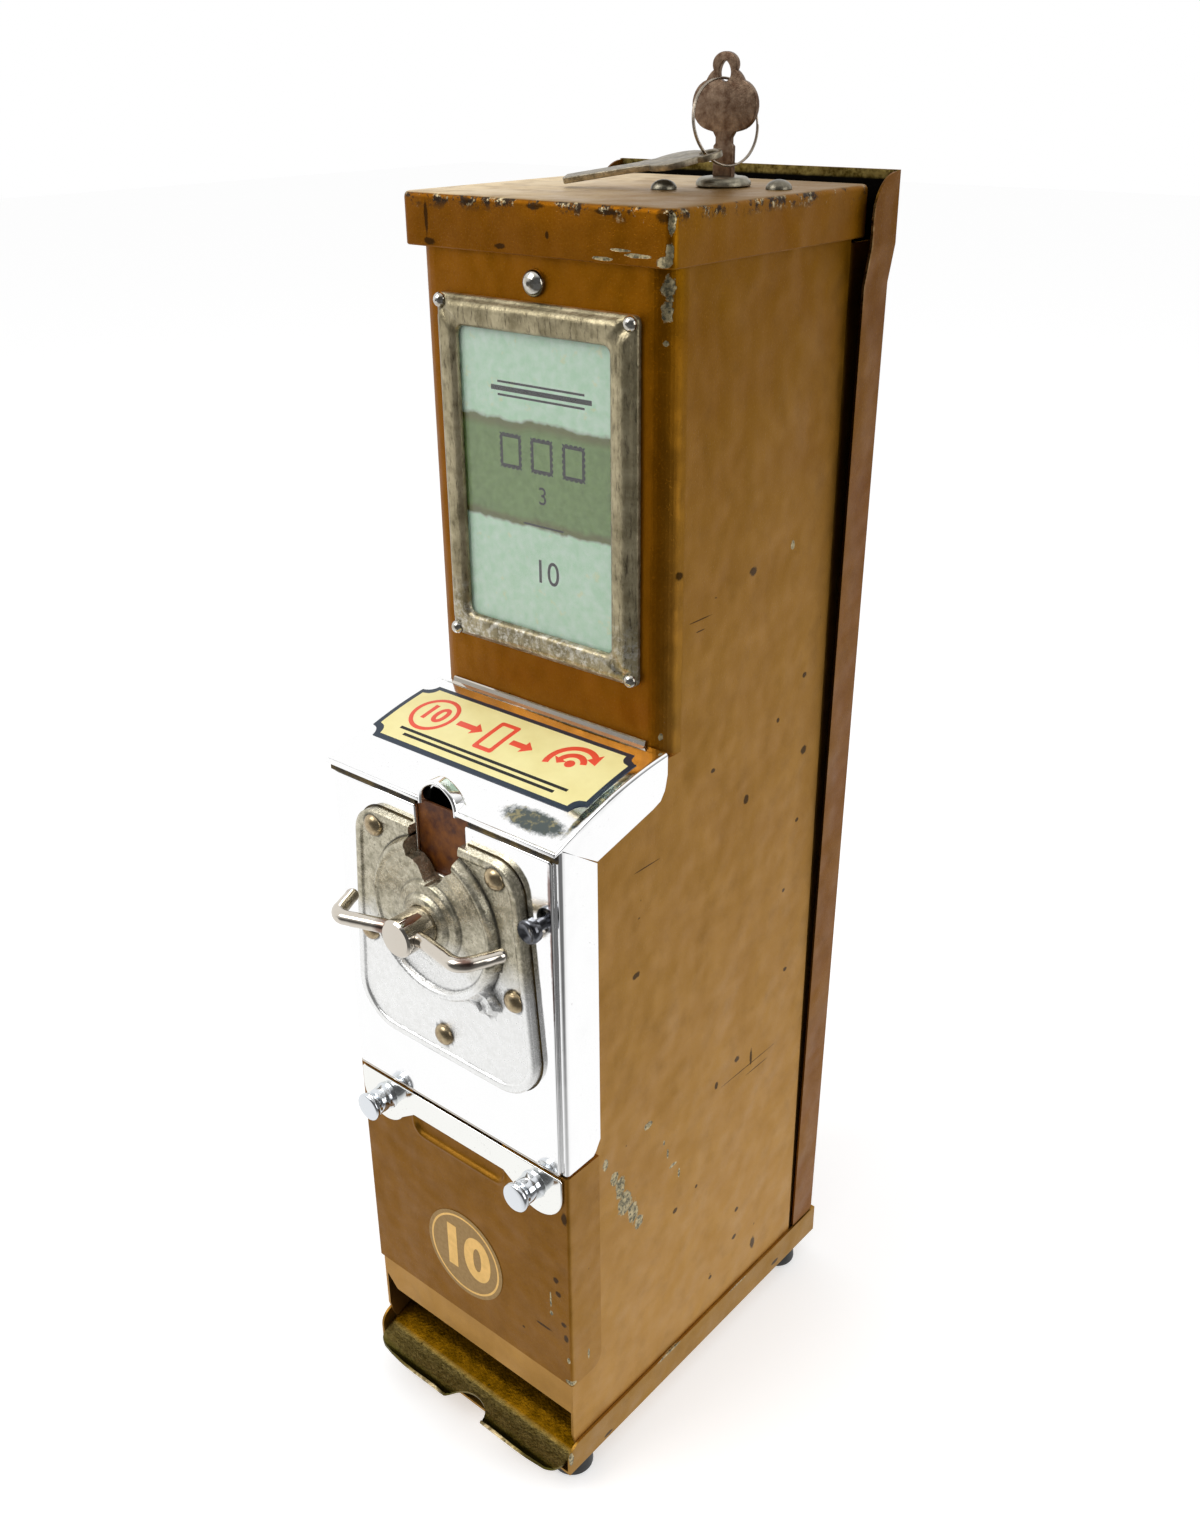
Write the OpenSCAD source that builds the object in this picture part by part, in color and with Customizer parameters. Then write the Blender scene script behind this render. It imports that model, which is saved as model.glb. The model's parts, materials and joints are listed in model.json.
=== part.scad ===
// Counter-top stamp folder vending machine.
// The case frame has x across the front, y from the lower front towards the
// back and z up from the underside of the base pan. place() moves it to the
// row frame: middle of the whole, z = 0 under the rubber feet.

/* [Cabinet] */
// Width over the cabinet sides
case_w = 108; // [106:0.5:110]
// How far the upper face is set back behind the lower front
step_y = 53.8; // [52:0.2:56]
// Rear edge of the cabinet sides
side_y = 152.4; // [150:0.2:153]
// Top of the cabinet walls, under the cap
wall_top = 466; // [462:0.5:467]
// Sheet steel thickness
sheet = 1.2; // [1:0.1:1.4]
// Radius of the upright front edges
edge_r = 9; // [6:0.5:10]

/* [Base] */
// Height of the base pan's rim
pan_h = 14; // [12:0.5:15]
// Rear face of the base pan
pan_y1 = 173; // [172.5:0.1:175]
// Height of the rubber feet
foot_h = 11; // [9:0.5:13]
// Diameter of the rubber feet
foot_d = 17; // [14:0.5:19]

/* [Back plate] */
// Rear face of the back plate
back_y = 170.7; // [170:0.1:171]
// Half width over the joggled ears
ear_x = 60.5; // [60:0.1:62]
// Top edge of the back plate
back_top = 473.3; // [472:0.1:476]

/* [Cap and lock] */
// Width of the lift-off cap
cap_w = 113.2; // [112.4:0.2:114]
// Underside of the cap's skirt
cap_z0 = 452.8; // [450:0.2:455]
// Top of the cap
cap_z1 = 469.4; // [469:0.2:472]
// Lock centre, across
lock_x = 21; // [19:0.5:23]
// Lock centre, front to back
lock_y = 124; // [122:0.5:126]
// Radius of the three lock rivets
rivet_pcd_r = 21.5; // [20:0.5:22]
// Height of the key above the cap
key_h = 40; // [38:0.5:42]

/* [Window] */
// Outer width of the window frame
win_w = 86; // [84:0.5:87]
// Outer height of the window frame
win_h = 120; // [118:0.5:121]
// Height of the window's middle
win_z = 378.8; // [378:0.2:380]
// How far the frame stands proud
win_proud = 4.5; // [4.2:0.1:5]
// Face width of the frame
win_rail = 9.8; // [9:0.1:10.5]

/* [Coin mechanism] */
// Shaft position across the front
mech_x = 1; // [0:0.5:1.5]
// Shaft height
mech_z = 241; // [240:0.5:242]
// Shaft diameter
shaft_d = 14; // [13:0.1:14.4]
// Reach of the shaft in front of the lower front
shaft_reach = 25.6; // [24:0.1:26]
// Handle rod diameter
rod_d = 5.4; // [5:0.1:5.8]
// Straight run of each handle arm, between its lean and its bend
arm_run = 16.35; // [14:0.05:16.5]
// Turn of the handle, degrees
handle_turn = 110; // [90:1:110]
// Gear module
gear_m = 1.5; // [1.5:0.1:1.5]
// Teeth on the full circle of the sector gear
gear_teeth = 18; // [18:1:18]
// Travel of the ejector for each mm of the cam plate
cam_slope = 1.5; // [1.4:0.05:1.5]

/* [Cash drawer] */
// Lower edge of the drawer front
drawer_z0 = 46.8; // [46:0.1:48]
// Upper edge of the drawer front
drawer_z1 = 150.4; // [149:0.1:151]
// Depth of the cash box
box_y1 = 98; // [90:1:99]
// Knob spacing, from the middle
knob_x = 39.3; // [38:0.1:40]
// Knob height
knob_z = 140.5; // [140:0.1:141]

/* [Stamp path] */
// Stamp folder, across
folder_w = 72; // [68:1:73]
// Stamp folder, front to back
folder_d = 36; // [34:0.5:36]
// Stamp folder thickness
folder_t = 1.4; // [1.2:0.1:1.5]
// Bundles of folders in the magazine
bundles = 9; // [4:1:14]
// Thickness of one bundle
bundle_h = 11; // [10:0.5:12]
// Radius of the finger notch in the tray lip
notch_r = 10.5; // [9:0.5:12]

/* [Hidden] */
$fn = 48;

half = case_w / 2;
cover_x = half + 1.2;
rod_y = -shaft_reach + 5;
// the handle: how far it stands out straight, its tilt at rest, and its lean
arm_root = 7.4;
rod_tilt = 4.3;
lean = 13.7;
lean_r = 12;
bend_r = 6;
front_reach = rod_d / 2 - rod_y + (lean_r + bend_r) * (1 - cos(lean)) + arm_run * sin(lean);
y_mid = -round(50 * (pan_y1 - front_reach)) / 100;
hood_z0 = 284.2;
hood_z1 = 297.9;
sag = 2.4;
shell_z0 = 151.6;
face_y = -2.8;
cast_y = face_y - 3;
gear_r = gear_m * gear_teeth / 2;
rack_travel = gear_r * handle_turn * PI / 180;
bed_z = 209;
folder_z = bed_z + sheet + 0.35;
pin_x = -12;
pin_y = 28;
cap_y0 = 51.2;
cap_y1 = 158.6;
ring_r = 13.2;
ring_top = cap_z1 + 32.3;
bronze = "#8a5a12";
olive = "#4a4018";
chrome_c = "#d8dade";
steel_c = "#a8aaa8";
dark_c = "#26241f";

module place() translate([0, y_mid, foot_h]) children();

// ---- shapes that repeat ----

// A box from its lowest and highest corners.
module span(lo, hi) translate(lo) cube(hi - lo);

// A profile drawn in (y, z), extruded across x from x0 to x1.
module across(x0, x1)
    translate([x0, 0, 0]) rotate([90, 0, 90]) linear_extrude(x1 - x0) children();

// A profile drawn in (x, z), extruded along y from y0 to y1.
module along(y0, y1)
    translate([0, y1, 0]) rotate([90, 0, 0]) linear_extrude(y1 - y0) children();

// Both sides of the middle plane.
module pair() { children(); mirror([1, 0, 0]) children(); }

// A rectangle whose four corners are true arcs.
module round_rect(w, h, r) {
    square([w - 2 * r, h], center = true);
    square([w, h - 2 * r], center = true);
    for (sx = [-1, 1], sz = [-1, 1])
        translate([sx * (w / 2 - r), sz * (h / 2 - r)]) circle(r);
}

// Left-hand unit normal of a line of points at point i.
function side(p, i) = let (a = p[max(i - 1, 0)], b = p[min(i + 1, len(p) - 1)],
    d = b - a) [-d.y, d.x] / norm(d);
// A sheet of thickness t bent along a line of points, on its left-hand side.
function bent(p, t) = concat(p, [for (i = [len(p) - 1:-1:0]) p[i] + t * side(p, i)]);

// A turned piece about an axis through (x, z), facing forward; r, h in mm.
module turned(x, y, z, profile)
    translate([x, y, z]) rotate([90, 0, 0]) rotate_extrude() polygon(profile);

// A low dome with a flat base, n steps round its quarter.
function dome(r, h, n = 6) =
    concat([[0, 0]], [for (i = [0:n]) [r * cos(90 * i / n), h * sin(90 * i / n)]]);

// ---- base ----

module pan_cheek() polygon(concat(
    [[pan_y1, 0], [pan_y1, pan_h], [3, pan_h]],
    [for (a = [90:15:180]) [3 + 7 * cos(a), 7 + 7 * sin(a)]],
    [[-4, 0]]));

module base_pan() color(bronze) difference() {
    across(-cover_x, cover_x) pan_cheek();
    span([-half - 0.1, -10, sheet], [half + 0.1, pan_y1 - sheet, pan_h + 1]);
    for (p = foot_at) translate([p.x, p.y, -1]) cylinder(h = 4, r = 2.2);
}

foot_at = [for (x = [-45, 45], y = [9, 157]) [x, y]];

module rubber_feet() color(dark_c) for (p = foot_at)
    translate([p.x, p.y, -foot_h]) difference() {
        rotate_extrude() polygon([[0, 0], [foot_d / 2 - 1, 0], [foot_d / 2, 1],
            [foot_d / 2 - 0.8, foot_h], [0, foot_h]]);
        translate([0, 0, -1]) cylinder(h = 6, r = 4.5);
        translate([0, 0, -1]) cylinder(h = foot_h + 2, r = 2.2);
    }

module foot_screws() color(steel_c) for (p = foot_at) translate([p.x, p.y, 0]) {
    translate([0, 0, -foot_h + 2]) cylinder(h = 3, r = 4);
    translate([0, 0, -foot_h + 4]) cylinder(h = foot_h + 1, r = 2.1);
    translate([0, 0, sheet]) cylinder(h = 2.2, r = 3.6, $fn = 6);
}

// ---- cabinet ----

// Side of the lower cabinet in (y, z), with the sloping shoulder under the hood.
side_profile = [[0, pan_h + 4], [0, 151], [1.4, 151], [1.4, 281], [step_y, 294],
    [step_y, 295], [side_y, 295], [side_y, sheet + 0.2], [6, sheet + 0.2], [1.5, 12]];

module upper_plan() {
    translate([-half, step_y + edge_r]) square([case_w, side_y - step_y - edge_r]);
    translate([-half + edge_r, step_y]) square([case_w - 2 * edge_r, edge_r]);
    for (s = [-1, 1]) translate([s * (half - edge_r), step_y + edge_r]) circle(edge_r);
}
module upper_inner() {
    translate([-half + sheet, step_y + edge_r])
        square([case_w - 2 * sheet, side_y - step_y]);
    translate([-half + edge_r, step_y + sheet])
        square([case_w - 2 * edge_r, edge_r]);
    for (s = [-1, 1]) translate([s * (half - edge_r), step_y + edge_r])
        circle(edge_r - sheet);
}

module cabinet_body() color(bronze) {
    difference() {
        union() {
            // upper tube, open at the back
            translate([0, 0, 294]) linear_extrude(wall_top - 294) upper_plan();
            // the sides below it
            pair() across(half - sheet, half) polygon(side_profile);
        }
        translate([0, 0, 290]) linear_extrude(wall_top) upper_inner();
        along(step_y - 5, step_y + 5) translate([0, win_z]) round_rect(62, 92, 3);
        for (sx = [-1, 1], z = [screw_lo, screw_hi])
            translate([sx * screw_x, step_y - 5, z]) rotate([-90, 0, 0]) cylinder(h = 10, r = 1.4);
        translate([0, step_y - 5, top_screw_z]) rotate([-90, 0, 0]) cylinder(h = 10, r = 2.05);
    }
    // band under the drawer front, its left end cut off at a slant
    along(0, sheet) polygon([[-half + sheet, 46.4], [-half + sheet, 36],
        [-half + 7, 30], [half - sheet, 30], [half - sheet, 46.4]]);
    // shelf under the drawer, and the tie above it
    span([-half + sheet, 0, 45.2], [half - sheet, 8, 46.4]);
    span([-half + sheet, 1.4, 151], [half - sheet, 2.6, 158]);
    // rear edges stepped in, so that they slide inside the back plate
    pair() span([half - 2 * sheet, 146, sheet + 0.3], [half - sheet, 167, cap_z0 - 2]);
    // two cross straps that the back plate is screwed to
    difference() {
        for (z = strap_z) span([-half + 1.5 * sheet, 165.8, z - 12], [half - 1.5 * sheet, 167, z + 12]);
        for (p = back_screw_at) translate([p.x, 160, p.y]) rotate([-90, 0, 0]) cylinder(h = 10, r = 2);
    }
}
strap_z = [34, 330];

// ---- back plate ----

// The flanges open out from foot to joggle by this much.
splay = 3.9;

module ear_line(t) {
    x0 = cover_x - 0.6; x1 = ear_x;
    polygon([[x0, pan_h + 0.4], [x0 + splay, 437], [x1, 450], [x1, back_top],
        [x1 - t, back_top], [x1 - t, 450.4], [x0 + splay - t, 437.4], [x0 - t, pan_h + 0.4]]);
}

ear_edge = [[cover_x - 0.6, pan_h + 0.4], [cover_x - 0.6 + splay, 437], [ear_x, 450], [ear_x, back_top]];
module back_plate() color("#7a5538") {
    difference() {
        along(back_y - sheet, back_y) polygon(concat(ear_edge,
            [for (i = [3:-1:0]) [-ear_edge[i].x, ear_edge[i].y]]));
        for (p = back_screw_at) translate([p.x, 160, p.y]) rotate([-90, 0, 0]) cylinder(h = 15, r = 2);
    }
    span([-half + 4, back_y - sheet, sheet + 0.3], [half - 4, back_y, pan_h + 1]);
    pair() difference() {
        along(155.2, back_y - 0.01) ear_line(0.9);
        // the ear's front edge is rounded off at the top
        translate([ear_x, 169, back_top - 14]) rotate([0, -90, 0]) difference() {
            translate([0, -20, -2]) cube([20, 20, 12]);
            translate([0, 0, -3]) cylinder(h = 14, r = 13.6, $fn = 64);
        }
    }
}

back_screw_at = [for (x = [-30, 30], z = strap_z) [x, z]];
module back_screws() color(steel_c) for (p = back_screw_at)
    translate([p.x, back_y + 0.6, p.y]) rotate([90, 0, 0]) {
        cylinder(h = 6, r = 1.9);
        translate([0, 0, 5.6]) cylinder(h = 2, r = 3.4);
    }

// Angle on the back plate; the lock's cam turns in under its tongue.
module latch_bracket() color(steel_c) {
    span([-4, 168.3, 440], [30, back_y - sheet - 0.02, 464]);
    span([-4, 147, 448.2], [30, 168.4, 449.4]);
}

// ---- cap, lock and keys ----

module cap_plan(inset) translate([0, (cap_y0 + cap_y1) / 2])
    round_rect(cap_w - 2 * inset, cap_y1 - cap_y0 - 2 * inset, 3 - inset / 2);

module top_cap() color(bronze) difference() {
    union() {
        translate([0, 0, cap_z0]) linear_extrude(cap_z1 - cap_z0 - 1.5) cap_plan(0);
        translate([0, 0, cap_z1 - 1.55]) linear_extrude(0.8) cap_plan(0.4);
        translate([0, 0, cap_z1 - 0.8]) linear_extrude(0.8) cap_plan(1.2);
    }
    translate([0, 0, cap_z0 - 1]) linear_extrude(cap_z1 - cap_z0 - 0.2) cap_plan(sheet);
    translate([lock_x, lock_y, cap_z0]) cylinder(h = 30, r = 7.6);
    for (a = rivet_a) translate(lock_at(a)) translate([0, 0, -8]) cylinder(h = 20, r = 1.9);
}
rivet_a = [2, 122, 242];
function lock_at(a) = [lock_x + rivet_pcd_r * cos(a), lock_y + rivet_pcd_r * sin(a), cap_z1];

module cap_rivets() color(steel_c) for (a = rivet_a) translate(lock_at(a)) {
    rotate_extrude() polygon(dome(4.3, 2.9));
    translate([0, 0, -2.4]) cylinder(h = 2.5, r = 1.85);
    translate([0, 0, -3.4]) cylinder(h = 2.1, r = 3.2);
}

module lock_escutcheon() color("#b0a070") translate([lock_x, lock_y, cap_z1])
    rotate_extrude() polygon([[7, 0.02], [9, 0.02], [9.1, 1.2], [8.4, 2.6], [7.2, 3], [7, 3]]);

module lock_barrel() color("#9c8850") translate([lock_x, lock_y, 0]) difference() {
    union() {
        translate([0, 0, cap_z1 - 19]) cylinder(h = 19 + 2.6, r = 6.95);
    }
    translate([0, 0, cap_z1 - 20]) cylinder(h = 30, r = 5.05);
}

module lock_nut() color(steel_c) translate([lock_x, lock_y, cap_z1 - 4.3]) difference() {
    cylinder(h = 3, r = 11, $fn = 6);
    translate([0, 0, -1]) cylinder(h = 6, r = 7);
}

module lock_plug() color("#b8a468") translate([lock_x, lock_y, 0]) difference() {
    union() {
        translate([0, 0, cap_z1 - 19.5]) cylinder(h = 21.9, r = 5);
        translate([0, 0, cap_z1 - 21.8]) cylinder(h = 2.6, r = 3.2);
        translate([0, 0, cap_z1 - 26.4]) cylinder(h = 4.8, r = 1.55);
    }
    translate([-4.15, -1.1, cap_z1 - 17]) cube([8.3, 2.2, 30]);
}

// The cam points sideways when the lock is open, and under the bracket when shut.
module lock_cam() color(steel_c) translate([lock_x, lock_y, cap_z1 - 24]) difference() {
    union() {
        cylinder(h = 2, r = 7);
        span([2, -5, 0], [29, 5, 2]);
        translate([0, 0, -1.6]) cylinder(h = 1.7, r = 3.6, $fn = 6);
    }
    translate([0, 0, -3]) cylinder(h = 8, r = 1.6);
}

key_t = 1.9;
module key_outline() {
    difference() {
        union() {
            translate([-3.9, -15]) square([7.8, 36]);
            translate([0, 27.5]) scale([1, 1, 1]) difference() {
                circle(r = 12.8);
                translate([-20, 7.2]) square([40, 20]);
                translate([-20, -28.4]) square([40, 20]);
            }
            translate([0, key_h - 6.2]) circle(6.2);
            translate([-6.2, 26]) square([12.4, key_h - 32.2]);
        }
        translate([0, key_h - 6.4]) circle(2.6);
        translate([0, key_h - 5.2]) circle(2.6);
        // cuts along the hidden edge of the blade
        for (i = [0:3]) translate([-4.4, -13 + 4 * i]) circle(1.3, $fn = 4);
    }
}

module key() color("#6e5238") translate([lock_x, lock_y, cap_z1])
    rotate([90, 0, 0]) translate([0, 0, -key_t / 2]) linear_extrude(key_t) key_outline();

// The ring hangs through the key's eye. Its plane is turned ring_a about the
// upright and leans ring_lean off it, so that its foot clears the key's blade;
// ring_shift turns it in its own plane about the eye.
ring_a = 75;
ring_lean = 11;
ring_shift = 7.4;
ring_u = [cos(ring_a), sin(ring_a), 0];
ring_n = [sin(ring_a), -cos(ring_a), 0];
ring_up = [-ring_n.x * sin(ring_lean), -ring_n.y * sin(ring_lean), cos(ring_lean)];
ring_c = [lock_x, lock_y, ring_top] - ring_r * (cos(ring_shift) * ring_up + sin(ring_shift) * ring_u);
module key_ring() color("#8a7c6c") translate(ring_c)
    rotate([0, 0, ring_a]) rotate([-ring_lean, 0, 0]) rotate([90, 0, 0])
        rotate_extrude($fn = 64) translate([ring_r, 0]) circle(0.65, $fn = 16);

// The spare key hangs from the ring, spare_a round from its foot, and leans on
// the cap.
spare_a = 42.2;
spare_len = 49;
module spare_outline() difference() {
    union() {
        circle(5.4);
        translate([10.5, 0]) circle(9.2);
        translate([0, -4.4]) square([10, 8.8]);
        translate([18, -3.4]) square([spare_len - 18, 6.8]);
    }
    translate([-0.6, 0]) circle(2.9);
    for (i = [0:4]) translate([28 + 4.4 * i, 3.9]) circle(1.2, $fn = 4);
}
spare_at = ring_c - ring_r * (cos(spare_a) * ring_up + sin(spare_a) * ring_u);
module spare_key() color("#b8b0a0") translate(spare_at) rotate([0, 0, 201.7])
    rotate([0, 8.9, 0]) rotate([-9, 0, 0]) translate([0, 0, -0.8])
        linear_extrude(1.6) spare_outline();

// ---- window ----

screw_x = 40.7;
screw_lo = win_z - win_h / 2 + 2.4;
screw_hi = win_z + win_h / 2 - 2.4;
top_screw_z = 444.6;

// Face profile of the frame, stepped like its rolled section.
module window_frame() color("#8a8078") difference() {
    union() for (s = [[0, 0], [0.7, 1.5], [1.7, 2.6], [3.0, 3.6]])
        along(step_y - (s.y == 0 ? 1.6 : s.y + 0.9), step_y - (s.y == 0 ? 0 : s.y - 0.2))
            translate([0, win_z]) round_rect(win_w - 2 * s.x, win_h - 2 * s.x, 2.2);
    along(step_y - 10, step_y + 1) translate([0, win_z])
        round_rect(win_w - 2 * win_rail, win_h - 2 * win_rail - 0.4, 3);
    along(step_y - 1.95, step_y + 1) translate([0, win_z]) round_rect(74.4, 108.4, 1);
    for (sx = [-1, 1], z = [screw_lo, screw_hi]) translate([sx * screw_x, step_y, z])
        rotate([90, 0, 0]) { translate([0, 0, -1]) cylinder(h = 9, r = 1.3);
            translate([0, 0, 2.4]) cylinder(h = 5, r = 2.7); }
}

module window_glass() color("#d8e8e4", 0.35)
    along(step_y - 1.9, step_y - 0.45) translate([0, win_z]) round_rect(74, 108, 1);

module price_card() color("#a8d0b8")
    along(step_y - 0.42, step_y - 0.02) translate([0, win_z]) round_rect(74, 108, 1);

module window_screws() color(steel_c) for (sx = [-1, 1], z = [screw_lo, screw_hi]) {
    turned(sx * screw_x, step_y - 2.4, z, dome(2.5, 2.2));
    translate([sx * screw_x, step_y - 2.5, z]) rotate([-90, 0, 0]) cylinder(h = 7, r = 1.25);
}

module top_screw() color(steel_c) {
    turned(0, step_y - 0.02, top_screw_z, dome(4.4, 3.4));
    translate([0, step_y - 0.1, top_screw_z]) rotate([-90, 0, 0]) cylinder(h = 7, r = 2);
    translate([0, step_y + sheet + 0.02, top_screw_z]) rotate([-90, 0, 0]) cylinder(h = 2.6, r = 4.2, $fn = 6);
}

// ---- hood and chrome front ----

// The hood's top line in (y, z), bowed up by sag between lip and face.
function hood_line(y) = let (u = (y + 3) / (step_y + 3))
    hood_z0 + (hood_z1 - hood_z0) * u + sag * 4 * u * (1 - u);
hood_pts = [for (i = [0:10]) let (y = -3 + (step_y + 2.9) * i / 10) [y, hood_line(y)]];

module hood() color(chrome_c) difference() {
    union() {
        across(-cover_x, cover_x) polygon(bent(hood_pts, -1.2));
        // rolled lip over the front plate
        across(-cover_x, cover_x) polygon([[-3.9, hood_z0 - 3.6], [-3.9, hood_z0 - 0.6],
            [-3, hood_z0], [-2, hood_z0], [-2.9, hood_z0 - 1.4], [-2.9, hood_z0 - 3.6]]);
        // thin rim turned up against the upper face
        span([-half + edge_r, step_y - 1, hood_z1 - 1.2], [half - edge_r, step_y - 0.1, hood_z1 + 2]);
        // side bands, mitred to the front cover at the front
        pair() across(half + 0.1, cover_x) polygon(concat(
            [for (p = hood_pts) p - [0, 0.6]],
            [[step_y + 0.9, hood_z1 - 4], [step_y + 0.4, hood_z1 - 12], [step_y - 3, hood_z1 - 17],
             [16.9, 272.4], [0, 284]]));
        // raised half collar round the coin notch
        coin_collar(8.4, 3.2);
    }
    along(-8, 2.2) translate([mech_x + 1, 0]) {
        translate([-10.5, 240]) square([21, 43.5]);
        translate([0, hood_z0 - 1.5]) circle(7.6);
    }
}
module coin_collar(r, h) translate([mech_x + 1, 0, hood_z0 - 1.5]) intersection() {
    rotate([90, 0, 0]) translate([0, 0, -1.4]) cylinder(h = 5.3, r = r + 1);
    span([-12, -6, 0.9], [12, 3, 12]);
}

module instruction_plate() color("#fff4b0")
    intersection() {
        across(-51.5, 51.5) polygon(bent([for (p = hood_pts) p + [0, 0.02]], 0.3));
        span([-60, 12, 200], [60, 46.5, 400]);
    }

module shell_profile() polygon([[0, hood_z0 - 0.4], [16.8, 271.8], [16.8, shell_z0 + 6],
    [13.5, shell_z0 + 0.4], [0, shell_z0]]);

module front_shell() color(chrome_c) difference() {
    union() {
        span([-cover_x, -1.2, shell_z0], [cover_x, 0, 282.6]);
        pair() across(half + 0.1, cover_x) shell_profile();
    }
    translate([mech_x, -5, mech_z]) rotate([-90, 0, 0]) cylinder(h = 9, r = 8);
    along(-3, 2) translate([mech_x + 1, 0]) translate([-12.5, 255]) square([25, 40]);
    rivet_holes(-3, 3);
    button_hole(-3, 3);
}

module front_plate() color(chrome_c) difference() {
    along(face_y, -1.22) translate([0, (shell_z0 + 280.4) / 2])
        round_rect(105, 280.4 - shell_z0 - 0.2, 1);
    translate([mech_x, -5, mech_z]) rotate([-90, 0, 0]) cylinder(h = 9, r = 8);
    along(-4, 2) translate([mech_x + 1, 0]) translate([-12, 256]) square([24, 40]);
    rivet_holes(-4, 3);
    button_hole(-4, 3);
}

module coin_backplate() color("#5a2e0a")
    span([mech_x + 1 - 12.3, -1.15, 255.2], [mech_x + 1 + 12.3, -0.05, 281.8]);

// ---- coin mechanism ----

rivet_at = [[-29.5, 26], [29.5, 26], [-36, -19.5], [36, -19.5], [0, -50]];
module rivet_holes(y0, y1) for (p = rivet_at)
    translate([mech_x + p.x, y0, mech_z + p.y]) rotate([-90, 0, 0]) cylinder(h = y1 - y0, r = 2.3);
button_at = [47, 254.5];
module button_hole(y0, y1)
    translate([button_at.x, y0, button_at.y]) rotate([-90, 0, 0]) cylinder(h = y1 - y0, r = 3.1);

// Outline of the cast plate: wider at the foot, two sizes of corner.
module cast_outline(inset) {
    top = 273 - mech_z; low = 180 - mech_z;
    wt = 40 - inset; wb = 45 - inset; rt = 12 - inset; rb = 18 - inset;
    polygon(concat(
        [for (a = [0:10:90]) [wt - rt + rt * cos(a), top - inset - rt + rt * sin(a)]],
        [for (a = [90:10:180]) [-wt + rt + rt * cos(a), top - inset - rt + rt * sin(a)]],
        [for (a = [180:10:270]) [-wb + rb + rb * cos(a), low + inset + rb + rb * sin(a)]],
        [for (a = [270:10:360]) [wb - rb + rb * cos(a), low + inset + rb + rb * sin(a)]]));
}

// Coin notch seen from the front: straight sides, then a slanted pocket.
module coin_notch() translate([1, 0]) polygon([[-12, 60], [-12, 21.5],
    [-8.5, 21], [-5.6, 18.6], [-3.6, 15.6], [-0.8, 14.2], [2.4, 14.6], [4.8, 17],
    [7, 20], [10.6, 22.4], [11.4, 25], [12, 60]]);

boss = [[0, 0], [30, 0], [29.6, 2.4], [28, 3.6], [26.6, 3], [15.2, 3.2], [14.4, 4.8],
    [11, 5.2], [10, 6.8], [7.6, 7.2], [0, 7.2]];

module mech_plate() color("#9a9a8c") translate([mech_x, 0, mech_z]) difference() {
    union() {
        along(cast_y, face_y - 0.02) cast_outline(0);
        along(cast_y - 0.8, cast_y + 0.1) difference() {
            cast_outline(0.8);
            cast_outline(3.4);
        }
        translate([0, cast_y + 0.01, 0]) rotate([90, 0, 0]) rotate_extrude() polygon(boss);
        // crescent guard below the boss, with its square lug
        translate([0, cast_y, 0]) rotate([90, 0, 0]) {
            intersection() {
                difference() { cylinder(h = 5.4, r = 31); cylinder(h = 6, r = 27); }
                linear_extrude(10) polygon([[0, 0], [-60, -20], [-40, -60], [40, -60], [60, -8]]);
            }
            rotate([0, 0, -47]) translate([29, -4.6, 0]) cube([9.4, 9.2, 3.2]);
        }
    }
    translate([0, -30, 0]) rotate([-90, 0, 0]) cylinder(h = 40, r = shaft_d / 2 + 0.05);
    along(-20, 5) coin_notch();
    for (p = rivet_at) translate([p.x, -10, p.y]) rotate([-90, 0, 0]) cylinder(h = 15, r = 2.3);
    // flat seats for the rivet heads
    for (p = rivet_at) translate([p.x, cast_y - 4, p.y]) rotate([-90, 0, 0]) cylinder(h = 4, r = 4.5);
}

module mech_rivets() color("#a08060") for (p = rivet_at) {
    turned(mech_x + p.x, cast_y - 0.02, mech_z + p.y, dome(4.3, 2.9));
    translate([mech_x + p.x, cast_y - 0.1, mech_z + p.y]) rotate([-90, 0, 0])
        cylinder(h = -cast_y + 2.1, r = 2.2);
    turned(mech_x + p.x, 3.2, mech_z + p.y, [[0, 0], [3.4, 0], [3.4, 1.4], [0, 1.4]]);
}

module handle_shaft() color(chrome_c) translate([mech_x, 0, mech_z]) difference() {
    rotate([90, 0, 0]) rotate_extrude() polygon([[0, -31], [4.6, -31], [5, -30.6],
        [5, -5.6], [shaft_d / 2, -5.6], [shaft_d / 2, shaft_reach - 0.8],
        [shaft_d / 2 - 0.8, shaft_reach], [0, shaft_reach]]);
    translate([0, rod_y, 0]) rotate([0, 90 - rod_tilt, 0]) translate([0, 0, -20])
        cylinder(h = 40, r = rod_d / 2 + 0.03);
}

// Each arm of the handle leaves the shaft, leans forward, bends, and comes back
// outwards and towards the plate to a rounded end.
come_back = 64.3;
end_run = 12.3;

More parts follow.
